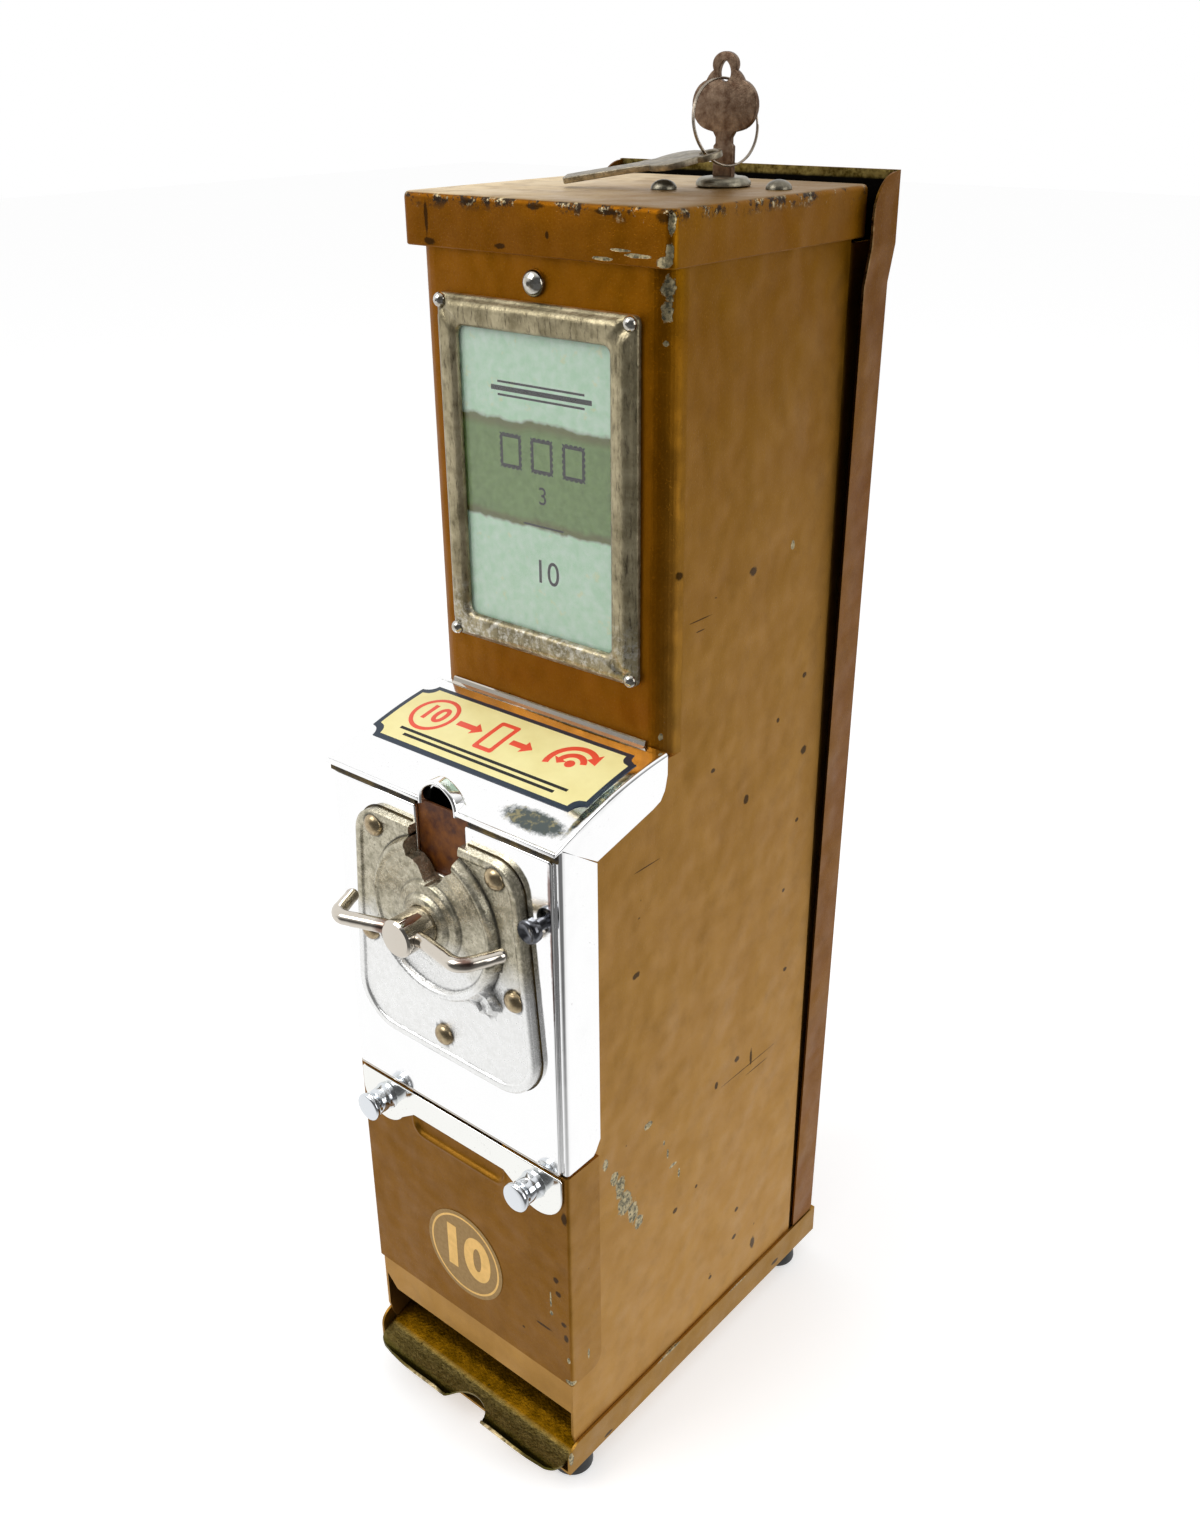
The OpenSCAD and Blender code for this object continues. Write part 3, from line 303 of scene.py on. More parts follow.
def from_cad(name, node, material, edge=0.0, angle=35.0):
    """A merged copy of a CAD node, flat faces joined, smooth below angle, its edges rounded by edge mm."""
    import bmesh
    source = NODES[node]
    bm = bmesh.new()
    bm.from_mesh(source.data)
    bmesh.ops.remove_doubles(bm, verts=bm.verts, dist=2e-6)
    bmesh.ops.dissolve_limit(bm, angle_limit=math.radians(0.4), verts=bm.verts, edges=bm.edges)
    mesh = bpy.data.meshes.new(name)
    bm.to_mesh(mesh)
    bm.free()
    mesh.polygons.foreach_set("use_smooth", np.ones(len(mesh.polygons), bool))
    mesh.set_sharp_from_angle(angle=math.radians(angle))
    mesh.materials.clear()
    mesh.materials.append(material)
    thing = bpy.data.objects.new(name, mesh)
    bpy.context.scene.collection.objects.link(thing)
    if edge:
        bevel = thing.modifiers.new("edges", "BEVEL")
        bevel.width, bevel.segments, bevel.limit_method = edge / 1000.0, 2, "ANGLE"
        bevel.angle_limit, bevel.harden_normals = math.radians(40), True
        bevel.use_clamp_overlap = True
    body = source["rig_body"]
    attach(thing, body)
    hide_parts(node)
    return thing


# ------------------------------------------------------------- material tools

def colour(hexed):
    """sRGB hex to linear RGBA: c / 12.92 below 0.04045, else ((c + 0.055) / 1.055) ^ 2.4."""
    c = np.array([int(hexed[i:i + 2], 16) for i in (1, 3, 5)]) / 255.0
    return (*np.where(c <= 0.04045, c / 12.92, ((c + 0.055) / 1.055) ** 2.4).tolist(), 1.0)


def add(tree, kind, settings=None, inputs=None, out=0):
    """Adds a node and gives its output.

    An input that is a socket is linked, a hex string is a colour, anything else is a value.
    """
    made = tree.nodes.new("ShaderNode" + kind)
    for key, value in (settings or {}).items():
        setattr(made, key, value)
    for key, value in (inputs or {}).items():
        socket = made.inputs[key]
        if isinstance(value, bpy.types.NodeSocket):
            tree.links.new(value, socket)
        else:
            socket.default_value = colour(value) if isinstance(value, str) else value
    return made.outputs[out] if len(made.outputs) else None


def new_material(name):
    """An empty material, its tree, and Object coordinates as case-frame millimetres: 1000 p - SHIFT."""
    material = bpy.data.materials.new(name)
    material.use_nodes = True
    tree = material.node_tree
    tree.nodes.clear()
    place = add(tree, "TexCoord", out="Object")
    case = add(tree, "VectorMath", {"operation": "MULTIPLY_ADD"},
               {0: place, 1: (1000.0,) * 3, 2: tuple(-SHIFT)})
    return material, tree, case


def finish_material(tree, shader, height=None, strength=0.1, distance=0.0005):
    """Links the shader to the output, with an optional bump height."""
    if height is not None:
        add_to = shader.node.inputs["Normal"]
        tree.links.new(add(tree, "Bump", None,
                           {"Strength": strength, "Distance": distance, "Height": height}), add_to)
    add(tree, "OutputMaterial", None, {"Surface": shader})


def lumps(tree, case, size, low=0.3, high=0.7, detail=4.0, rough=0.6, stretch=None):
    """Noise with lumps of about size mm, spread from low..high to 0..1.

    The lumps are longer along an axis whose stretch is above 1.
    """
    vector = case
    if stretch:
        vector = add(tree, "VectorMath", {"operation": "DIVIDE"}, {0: case, 1: stretch})
    fac = add(tree, "TexNoise", None,
              {"Vector": vector, "Scale": 1.0 / size, "Detail": detail, "Roughness": rough}, "Fac")
    return add(tree, "MapRange", None, {"Value": fac, "From Min": low, "From Max": high})


def rise(tree, case, axis, start, end, wobble=0.0, size=9.0):
    """0 at start, 1 at end along an axis, in mm, the edge shifted by up to wobble mm of noise."""
    along = add(tree, "SeparateXYZ", None, {0: case}, axis)
    if wobble:
        shift = lumps(tree, case, size, 0.0, 1.0)
        along = add(tree, "Math", {"operation": "MULTIPLY_ADD"}, {0: shift, 1: wobble, 2: along})
    return add(tree, "MapRange", None, {"Value": along, "From Min": start, "From Max": end})


def tinted(tree, base, tint, strength, *masks):
    """base turned towards tint by strength times the product of the masks."""
    fac = strength
    for mask in masks:
        fac = add(tree, "Math", {"operation": "MULTIPLY"}, {0: mask, 1: fac})
    return add(tree, "Mix", {"data_type": "RGBA"}, {"Factor": fac, 6: base, 7: tint}, 2)


def spots(tree, case, table, ragged=0.9, soft=0.2, grain=2.2):
    """1 inside any ellipsoid (centre, radii) of the table, its edge made ragged by noise."""
    least = None
    for centre, radii in table:
        off = add(tree, "VectorMath", {"operation": "SUBTRACT"}, {0: case, 1: centre})
        off = add(tree, "VectorMath", {"operation": "DIVIDE"}, {0: off, 1: radii})
        far = add(tree, "VectorMath", {"operation": "LENGTH"}, {0: off}, "Value")
        least = far if least is None else add(tree, "Math", {"operation": "MINIMUM"}, {0: least, 1: far})
    edge = lumps(tree, case, grain, 0.0, 1.0, 4.0, 0.7)
    total = add(tree, "Math", {"operation": "MULTIPLY_ADD"}, {0: edge, 1: ragged, 2: least})
    return add(tree, "MapRange", None,
               {"Value": total, "From Min": 1.0 + ragged / 2, "From Max": 1.0 + ragged / 2 - soft})


def plain(name, hexed, metallic, roughness, alt=None, size=3.0, bump=0.0):
    """One finish: a colour mottled towards alt in lumps of size mm, with a slight grain."""
    material, tree, case = new_material(name)
    shader = {"Base Color": hexed, "Metallic": metallic, "Roughness": roughness}
    if alt:
        shader["Base Color"] = tinted(tree, hexed, alt, 1.0, lumps(tree, case, size, 0.35, 0.65))
    shader = add(tree, "BsdfPrincipled", None, shader)
    finish_material(tree, shader, lumps(tree, case, size / 3.0, 0.0, 1.0) if bump else None, bump, 0.0004)
    return material


# ----------------------------------------------------------------- finishes

def bronze(name, low, mid, high, front, chips=(), marks=(), scratches=(), wear_and_painted_light=None, gloss=0.4,
           heights=(60.0, 320.0, 450.0), front_from=(60.0, 200.0)):
    """Old bronze enamel, sprayed over sheet steel.

    A metallic tan that darkens upwards, deep orange-brown on the front, mottled by age, with dark pits,
    chips down to grey primer, and dirt marks.
    """
    material, tree, case = new_material(name)
    base = tinted(tree, low, mid, 1.0, rise(tree, case, "Z", heights[0], heights[1]))
    base = tinted(tree, base, high, 1.0, rise(tree, case, "Z", heights[1], heights[2]))
    base = tinted(tree, base, "#b08424", 0.16, lumps(tree, case, 30.0, 0.32, 0.68))
    normal = add(tree, "NewGeometry", out="Normal")
    base = tinted(tree, base, front, 0.9, rise(tree, normal, "Y", -0.35, -0.9),
                  rise(tree, case, "Z", *front_from))
    base = tinted(tree, base, "#3e2200", 0.13, lumps(tree, case, 8.0, 0.5, 0.74, 5.0))
    # metallic grain, drawn at 0.9 mm so that it shows: real flakes are far finer
    fine = lumps(tree, case, 0.9, 0.3, 0.7, 2.0)
    base = tinted(tree, base, "#d8a438", 0.06, fine)
    # dark pits up to 0.8 mm in radius, one to each cell of 24 mm
    pits = add(tree, "TexVoronoi", None, {"Vector": case, "Scale": 1.0 / 24.0})
    pits = add(tree, "Math", {"operation": "MULTIPLY_ADD"}, {0: fine, 1: 0.02, 2: pits})
    pits = add(tree, "MapRange", None, {"Value": pits, "From Min": 0.034, "From Max": 0.022})
    base = tinted(tree, base, "#2c1a04", 0.85, pits)
    if marks:
        base = tinted(tree, base, "#2e1c06", 0.85, spots(tree, case, marks, 1.0, 0.3))
    if scratches:
        base = tinted(tree, base, "#3c240c", 0.85, spots(tree, case, scratches, 0.7, 0.3))
    height = add(tree, "Math", {"operation": "MULTIPLY_ADD"},
                 {0: lumps(tree, case, 30.0, 0.0, 1.0, 2.0), 1: 14.0,
                  2: lumps(tree, case, 0.7, 0.0, 0.4, 2.0)})
    if chips:
        bare = spots(tree, case, chips, 1.5, 0.12, 4.0)
        tone = tinted(tree, "#6a6652", "#c8b890", 1.0, lumps(tree, case, 1.4, 0.4, 0.6))
        base = tinted(tree, base, tone, 1.0, bare)
        height = add(tree, "Math", {"operation": "MULTIPLY_ADD"}, {0: bare, 1: -0.5, 2: height})
    # the given function adds wear, and for the cap and back plate also painted sheen and painted shade
    if wear_and_painted_light:
        base = wear_and_painted_light(tree, case, base)
    rough = add(tree, "MapRange", None,
                {"Value": lumps(tree, case, 14.0), "To Min": gloss, "To Max": gloss + 0.16})
    shader = add(tree, "BsdfPrincipled", None, {"Base Color": base, "Metallic": 1.0, "Roughness": rough})
    finish_material(tree, shader, height, 0.35, 0.0006)
    return material


def on_side(*rows):
    """Patches (y, z, half depth, half height) on the right side sheet: ellipsoids 2 mm in and out."""
    return [((54, y, z), (2, ry, rz)) for y, z, ry, rz in rows]


SIDE_CHIPS = on_side((26, 132, 2.3, 3.4), (29.5, 125, 3, 5.2), (32, 116, 4, 6.2), (37, 108, 3.6, 5.8),
                     (40.5, 100.5, 2.6, 3.4), (21, 141.5, 1.6, 2.8), (46, 144, 2.6, 1.6),
                     (56, 129, 0.7, 1.3), (58.5, 122, 0.6, 2.4), (62, 114, 2.4, 0.8), (66, 107, 0.7, 2.6),
                     (126, 352.5, 1.2, 1.8))
CORNER_CHIPS = [((52.6, 55.2, 447), (3, 3, 4.6)), ((51.6, 55, 440), (2.2, 3, 3.4)),
                ((51, 54.8, 431), (1, 2, 1.2)), ((52.5, 55.5, 307), (1.4, 2, 1.3)),
                ((50.5, 54.6, 302), (0.8, 2, 1.6))]
SIDE_MARKS = on_side((60.5, 358, 1.8, 1.6), (102, 349, 2.4, 1.8), (138.5, 299, 1.7, 1.3),
                     (122, 286, 1.1, 1.1), (141, 267, 2.2, 2), (103, 260.5, 1.8, 2.2),
                     (81.5, 280.5, 1.5, 1), (38.5, 216, 2.3, 1.5), (136.5, 168, 1.6, 1.2),
                     (132, 208, 1.2, 1), (122, 28.5, 2, 3.8), (108, 58, 1.6, 1.3), (107, 43, 1.9, 1.4),
                     (64, 89, 1.7, 1.5), (78, 92, 1, 1), (90, 32.5, 1.3, 1.2), (139, 237, 1.3, 1),
                     (104, 141, 2, 1.6), (90, 136, 1.3, 2), (114, 136, 1, 5))
CORNER_MARKS = [((52.5, 55, 409), (2.2, 2, 1.5))]
SIDE_SCRATCHES = on_side((112, 133, 22, 0.3), (119, 128.6, 9, 0.3), (72, 340, 7, 0.3), (44, 258, 8, 0.3),
                         (72, 336, 3, 0.3))


def cap_wear_and_sheen(tree, case, base):
    """Cap: pale and grey where hands rubbed the top edges; on the flat a painted sheen, paler to the left,
    with dusty mottling.
    """
    tone = tinted(tree, "#33261a", "#e0cfa4", 1.0, lumps(tree, case, 3.2, 0.54, 0.66, 5.0, 0.7))
    near_top = rise(tree, case, "Z", 466.0, 468.9, 3.0, 4.0)
    patch = lumps(tree, case, 9.0, 0.505, 0.55, 6.0, 0.8)
    base = tinted(tree, base, tone, 1.0, near_top, patch, rise(tree, case, "Y", 54.0, 51.8))
    base = tinted(tree, base, tone, 1.0, near_top, patch, rise(tree, case, "X", 54.0, 56.2))
    # painted highlight: the flat top is made paler towards the left, standing for the sheen of light on it,
    # mottled like dust
    sheen_and_dust = tinted(tree, "#8a6a34", "#ffe9be", 1.0, rise(tree, case, "X", 50.0, -46.0, 30.0, 24.0))
    sheen_and_dust = tinted(tree, sheen_and_dust, "#8c6a34", 0.55, lumps(tree, case, 12.0, 0.45, 0.7, 5.0))
    return tinted(tree, base, sheen_and_dust, 0.85, rise(tree, case, "Z", 469.0, 469.25))


def plate_wear_and_shade(tree, case, base):
    """Back plate: its inside almost black, painted shade behind the cap; the top edge rubbed to olive gold,
    the flanges to tan.
    """
    normal = add(tree, "NewGeometry", out="Normal")
    ahead = rise(tree, normal, "Y", -0.6, -0.9)
    # painted shade: faces looking forward, behind y 160, go almost black for the shade in the gap behind the
    # cap
    base = tinted(tree, base, "#0d0b08", 1.0, ahead, rise(tree, case, "Y", 160.0, 165.0))
    patch = lumps(tree, case, 3.0, 0.38, 0.6, 5.0, 0.7)
    gold = tinted(tree, "#4a3c10", "#94844c", 1.0, patch)
    base = tinted(tree, base, gold, 0.9, rise(tree, case, "Z", 470.4, 471.2, 0.6, 5.0), ahead)
    return tinted(tree, base, "#a88a5c", 0.8, patch, rise(tree, case, "Y", 156.4, 155.3),
                  rise(tree, case, "Z", 425.0, 440.0))


CAP_CHIPS = [((56.2, 51.6, 466), (1.6, 1.6, 4.0)), ((55.6, 51.2, 457), (1.7, 1.4, 3.6)),
             ((53.5, 51.2, 454.5), (3.0, 1.2, 1.8)),
             ((43.0, 51.2, 455.8), (5.5, 1.0, 0.6)), ((37.5, 51.2, 457.0), (3.6, 1.0, 0.5)),
             ((30.0, 51.2, 454.2), (4.0, 1.0, 0.6))]
CAP_MARKS = [((-45.0, 51.2, 462.0), (1.0, 1.4, 6.0)), ((-26.0, 51.2, 467.5), (3.0, 1.4, 1.4)),
             ((-12.0, 51.2, 455.0), (2.6, 1.4, 1.0)),
             ((8.0, 51.2, 459.5), (0.9, 1.4, 1.3)), ((3.0, 51.2, 467.6), (4.0, 1.4, 1.2)),
             ((32.0, 51.2, 467.4), (5.0, 1.4, 1.2)),
             ((53.5, 51.2, 467.2), (3.4, 1.6, 2.4)), ((-44.0, 51.2, 454.5), (3.0, 1.4, 1.4))]

cabinet_paint = bronze("bronze enamel, cabinet", "#b48848", "#9e7232", "#7e5000", "#8c5400",
                       SIDE_CHIPS + CORNER_CHIPS, SIDE_MARKS + CORNER_MARKS, SIDE_SCRATCHES)
cap_paint = bronze("bronze enamel, cap", "#805000", "#805000", "#805000", "#7c4800", CAP_CHIPS, CAP_MARKS,
                   wear_and_painted_light=cap_wear_and_sheen)
drawer_paint = bronze("bronze enamel, drawer", "#a47838", "#94682a", "#7e4c04", "#84560c",
                      [((53.6, -1.2, 60), (1.0, 1.4, 1.8)), ((55.2, 8.5, 57), (1, 0.6, 2.6)),
                       ((54.5, -1.0, 48.5), (2.6, 2.0, 1.3)),
                       ((45.0, -1.2, 86.5), (0.5, 1.2, 4.0)), ((45.2, -1.2, 79.5), (1.0, 1.2, 1.2))],
                      [((53.0, -1.2, 131.0), (1.6, 1.4, 3.2)), ((48.0, -1.2, 98.0), (1.6, 1.4, 1.8)),
                       ((49.0, -1.2, 91.5), (1.5, 1.4, 1.5)),
                       ((51.5, -1.2, 77.5), (1.7, 1.4, 1.3)), ((52.5, -1.2, 71.0), (1.3, 1.4, 2.0)),
                       ((41.0, -1.2, 70.0), (5.0, 1.4, 0.7)),
                       ((30.0, -1.2, 62.0), (0.8, 1.4, 0.7))], front_from=(-2.0, -1.0))
pan_paint = bronze("bronze enamel, base pan", "#9a7232", "#94692a", "#7a4c08", "#7c4c10",
                   [((55.2, -3.0, 9.0), (1, 1.4, 4.0)), ((55.2, 60.0, 13.6), (1, 9.0, 0.5)),
                    ((55.2, 110.0, 13.6), (1, 7.0, 0.4))],
                   [((55.2, 20.0, 2.0), (1, 3.0, 1.0)), ((55.2, 140.0, 4.0), (1, 3.0, 1.2))])
# painted shade: the near-black front colour makes the faces that look into the case stand for the shade
# inside
back_paint = bronze("brown enamel, back plate", "#80501e", "#784816", "#6c3e0c", "#160e06", wear_and_painted_light=plate_wear_and_shade,
                    gloss=0.4)


def tray_finish():
    """Tray: dark olive enamel, rubbed to grey on the lip and to bare metal along its edge."""
    material, tree, case = new_material("olive enamel, tray")
    base = tinted(tree, "#4a3200", "#6e4c06", 1.0, lumps(tree, case, 5.0, 0.35, 0.65))
    lip = tinted(tree, "#5e5026", "#7e6e40", 1.0, lumps(tree, case, 3.0, 0.35, 0.65, 5.0, 0.7))
    base = tinted(tree, base, lip, 1.0, rise(tree, case, "Y", 1.6, -0.6))
    base = tinted(tree, base, "#4c4a12", 0.75, rise(tree, case, "Y", -6.5, -9.0),
                  rise(tree, case, "Y", -12.5, -10.5))
    bare = tinted(tree, "#7c6e50", "#d8c498", 1.0, lumps(tree, case, 2.5, 0.42, 0.55, 5.0, 0.7))
    base = tinted(tree, base, bare, 0.9, rise(tree, case, "Y", -12.4, -13.4))
    cells = add(tree, "TexVoronoi", None, {"Vector": case, "Scale": 1.0 / 7.0})
    specks = add(tree, "MapRange", None, {"Value": cells, "From Min": 0.075, "From Max": 0.05})
    base = tinted(tree, base, "#1c1606", 0.8, specks)
    shader = add(tree, "BsdfPrincipled", None, {"Base Color": base, "Metallic": 1.0, "Roughness": 0.4})
    finish_material(tree, shader, lumps(tree, case, 1.2), 0.25, 0.0004)
    return material


def chrome_plate(name, tint="#ffffff", pits=0.5, rust=(), shade=(), wave=0.25):
    """Chrome plate on steel: a near-white mirror, hazed by age and peppered with small rust pits."""
    material, tree, case = new_material(name)
    # rust pits, drawn about 0.9 mm wide so that they show: most real ones are finer
    pepper = lumps(tree, case, 0.9, 0.66, 0.74, 3.0, 0.7)
    base = tinted(tree, tint, "#4a3c30", pits, pepper, lumps(tree, case, 9.0, 0.45, 0.62))
    if rust:
        base = tinted(tree, base, "#6a3a28", 0.8, spots(tree, case, rust, 0.8, 0.6))
    # painted shade: dark greenish patches, mottled, put where the chrome shows shade and dark reflections
    if shade:
        film = tinted(tree, "#16302a", "#8a8050", 1.0, lumps(tree, case, 3.0, 0.5, 0.62, 5.0, 0.7))
        base = tinted(tree, base, film, 0.9, spots(tree, case, shade, 0.7, 0.3))
    rough = add(tree, "MapRange", None,
                {"Value": lumps(tree, case, 12.0, 0.4, 0.75), "To Min": 0.06, "To Max": 0.17})
    shader = add(tree, "BsdfPrincipled", None, {"Base Color": base, "Metallic": 1.0, "Roughness": rough})
    finish_material(tree, shader, lumps(tree, case, 22.0, 0.0, 1.0, 2.0), wave, 0.0008)
    return material


# the rust spots: red-brown streaks down the plate's right edge, partly rust and partly painted shade for the
# plate's edge in shadow beside the cover
front_chrome = chrome_plate("chrome plate, front",
                            rust=[((51.6, -2.8, 268), (0.9, 1.6, 13.0)),
                                  ((51.9, -2.8, 245), (0.6, 1.6, 16.0)),
                                  ((52.2, -2.8, 228), (0.35, 1.6, 14.0))])
# painted shade: on the hood, a dark patch right of the slot by the lip, a band down its right side, and along
# its back edge against the upper face
hood_chrome = chrome_plate("chrome plate, hood", pits=0.6,
                           shade=[((39, 4.4, 287), (15, 5.0, 6)), ((53.0, 20, 291), (1.6, 24, 9)),
                                  ((20, 51.0, 298), (33, 1.4, 4)),
                                  ((-30, 51.4, 298), (22, 0.9, 4))])
bar_chrome = chrome_plate("chrome plate, handle", "#d4ccc0", 0.9,
                          [((-9, -21, 240), (4, 6, 5)), ((-38, -14, 238), (6, 5, 3)),
                           ((13, -22, 240), (3, 4, 2)), ((33, -24, 245), (5, 3, 2))])
knob_chrome = chrome_plate("chrome plate, knobs", "#e2e6ea", 0.4, wave=0.02)
strip_chrome = chrome_plate("chrome plate, strip", "#f8f8f4", 0.8)


def cast_finish():
    """Nickel-plated die casting, sand-pitted: grey green where the plate is gone, near white at its foot as a
    painted reflection.
    """
    material, tree, case = new_material("plated zinc casting")
    mottle = lumps(tree, case, 2.4, 0.36, 0.64, 6.0, 0.7)
    dull = tinted(tree, "#98927c", "#d6ceb8", 1.0, mottle)
    # painted reflection: below the shaft the casting turns near white, standing for the bright reflection
    # that floods its lower half
    bright = tinted(tree, "#ececea", "#fbfbfa", 1.0, mottle)
    base = tinted(tree, dull, bright, 1.0, rise(tree, case, "Z", 243.0, 229.0, 14.0))
    base = tinted(tree, base, "#2c2a20", 0.75, lumps(tree, case, 0.9, 0.6, 0.7, 3.0, 0.75),
                  rise(tree, case, "Z", 205.0, 245.0))
    # darker in the hollows and round the rivets' feet, by the depth stored on the casting's points
    crevice = add(tree, "Attribute", {"attribute_name": "hollow_darkening"}, None, "Fac")
    base = tinted(tree, base, "#14120c", 0.8,
                  add(tree, "MapRange", None, {"Value": crevice, "From Min": 0.25, "From Max": 1.0}))
    rough = add(tree, "MapRange", None, {"Value": mottle, "To Min": 0.15, "To Max": 0.3})
    shader = add(tree, "BsdfPrincipled", None, {"Base Color": base, "Metallic": 0.85, "Roughness": rough})
    # sand grain, drawn at 0.8 mm so that it shows
    finish_material(tree, shader, lumps(tree, case, 0.8, 0.0, 1.0, 4.0, 0.7), 0.35, 0.0004)
    return material


def frame_finish():
    """Window frame: nickel plate worn to grey, with bright patches at the foot."""
    material, tree, case = new_material("worn nickel plate")
    base = tinted(tree, "#80765a", "#b8ac8c", 1.0, lumps(tree, case, 8.0, 0.35, 0.65, 5.0))
    base = tinted(tree, base, "#3c3424", 0.75, lumps(tree, case, 1.2, 0.52, 0.7, 4.0, 0.7, (1.0, 1.0, 5.0)))
    base = tinted(tree, base, "#dcd8cc", 0.8, rise(tree, case, "Z", 345.0, 322.0),
                  lumps(tree, case, 2.6, 0.48, 0.6, 5.0, 0.7))
    shader = add(tree, "BsdfPrincipled", None, {"Base Color": base, "Metallic": 0.85, "Roughness": 0.3})
    finish_material(tree, shader, lumps(tree, case, 1.5), 0.2, 0.0004)
    return material


def card_finish():
    """Printed card: mint green paper, browned where a strip of tape once lay across it."""
    material, tree, case = new_material("mint card, stained")
    paper = tinted(tree, "#cdf4d2", "#e6ffea", 1.0, lumps(tree, case, 3.5, 0.35, 0.68, 5.0))
    paper = tinted(tree, paper, "#f0f4c0", 0.5, lumps(tree, case, 5.0, 0.62, 0.7))
    taped = tinted(tree, "#6c8844", "#8cac64", 1.0, lumps(tree, case, 3.0, 0.3, 0.7, 6.0, 0.7))
    paper = tinted(tree, paper, taped, 1.0, rise(tree, case, "Z", 403.1, 402.5, 5.0, 12.0),
                   rise(tree, case, "Z", 367.9, 368.5, 5.0, 12.0))
    for a, b, c, d in ((404.0, 402.6, 398.5, 401.5), (367.3, 368.3, 371.5, 369.5)):
        brim = rise(tree, case, "Z", a, b, 5.0, 12.0)
        paper = tinted(tree, paper, "#6c5a20", 0.6, brim, rise(tree, case, "Z", c, d, 5.0, 12.0))
    shader = add(tree, "BsdfPrincipled", None, {"Base Color": paper, "Roughness": 0.7})
    finish_material(tree, shader)
    return material


cast_metal = cast_finish()
nickel = frame_finish()
card_paper = card_finish()
tray_paint = tray_finish()
# bare steel rusted through: matt red-brown with orange lumps
rusty = plain("rusted steel, coin slot", "#4a2004", 0.2, 0.5, alt="#7a4408", size=5.0, bump=0.3)
# brass plate worn on steel: warm, bright, a little dulled
rivet_metal = plain("brassy rivet", "#9a8668", 0.95, 0.24, alt="#c0ae8c", size=2.0)
# painted shade: a dark line standing for the shade in the joints, its olive patches a painted reflection
painted_gap_shade = plain("painted shade in the joints of the plates", "#1c1712", 0.6, 0.4, alt="#5c4a1c", size=6.0)
# nickel-plated screws: small, sharp highlights
screw_metal = plain("polished screw", "#d4d4d0", 1.0, 0.12, alt="#b0a898", size=2.0)
# painted reflection: chrome given a dark colour, a dark mirror standing for the dark surroundings the button
# reflects
button_dark_reflection = plain("chrome button, painted dark reflection", "#85878c", 1.0, 0.14, alt="#4a4a4e", size=4.0)
# electroplated zinc on sheet steel: grey, no sharp reflection
zinc = plain("zinc plate", "#8e8e88", 0.9, 0.42, alt="#a4a49c", size=8.0)
# sand-cast iron, blackened: dull and grainy
iron = plain("black cast iron", "#2c2b28", 0.4, 0.6, alt="#3a3835", size=4.0, bump=0.3)
# tarnished brass: dull yellow brown
brass = plain("dull brass", "#a8894a", 0.95, 0.35, alt="#8a6c34", size=4.0)
# tarnished die-cast lock face: grey with a soft sheen, slightly pitted
pewter = plain("tarnished lock face", "#7c7768", 0.9, 0.36, alt="#a39c88", size=2.2, bump=0.3)
# rivets blackened by age: dark domes with one highlight
dark_dome = plain("blackened rivet", "#5e584c", 0.9, 0.32, alt="#8a8474", size=3.0, bump=0.2)
# stamped key steel gone brown: low sheen, rubbed paler in patches
key_metal = plain("brown key steel", "#5a4231", 0.85, 0.4, alt="#8a7460", size=3.0, bump=0.25)
# stamped key steel gone grey: low sheen, paler in patches
spare_metal = plain("grey key steel", "#6e6656", 0.85, 0.38, alt="#a29884", size=2.5, bump=0.25)
# spring steel wire: a thin bright line
wire = plain("ring wire", "#8a8074", 1.0, 0.25, alt="#a89c8c", size=3.0)
# moulded black rubber: matt, almost no highlight
rubber = plain("black rubber", "#161514", 0.0, 0.6, alt="#201f1d", size=4.0, bump=0.2)
# uncoated buff card: matt, faintly mottled
folder_paper = plain("buff card", "#cbb98a", 0.0, 0.75, alt="#bfab7c", size=8.0)
# varnished paper label, yellowed: smooth cream with a slight gloss
label_cream = plain("cream label", "#fbf0ae", 0.0, 0.35, alt="#f3e6a0", size=14.0)
# printing inks of the label and the card: flat colour, barely glossy
label_navy = plain("navy ink", "#16283a", 0.0, 0.35)
label_red = plain("red ink", "#ee5238", 0.0, 0.4)
ink = plain("black ink", "#14140f", 0.0, 0.6)
# decal film over paint: dull gold, finely mottled
decal_gold = plain("gold decal film", "#8c6a2c", 0.2, 0.45, alt="#9a783e", size=1.6)
# printing on the decal: paler gold, as smooth as the film
decal_pale = plain("pale gold ink", "#ecbc68", 0.1, 0.45, alt="#dcae5a", size=3.0)


def glass_finish():
    """Window glass: clear float glass, 1.5 mm."""
    material, tree, _ = new_material("window glass")
    shader = add(tree, "BsdfPrincipled", None,
                 {"Base Color": "#ffffff", "Roughness": 0.02, "IOR": 1.5, "Transmission Weight": 1.0})
    finish_material(tree, shader)
    return material


glass = glass_finish()


# ------------------------------------------------------------ cap, lock, keys

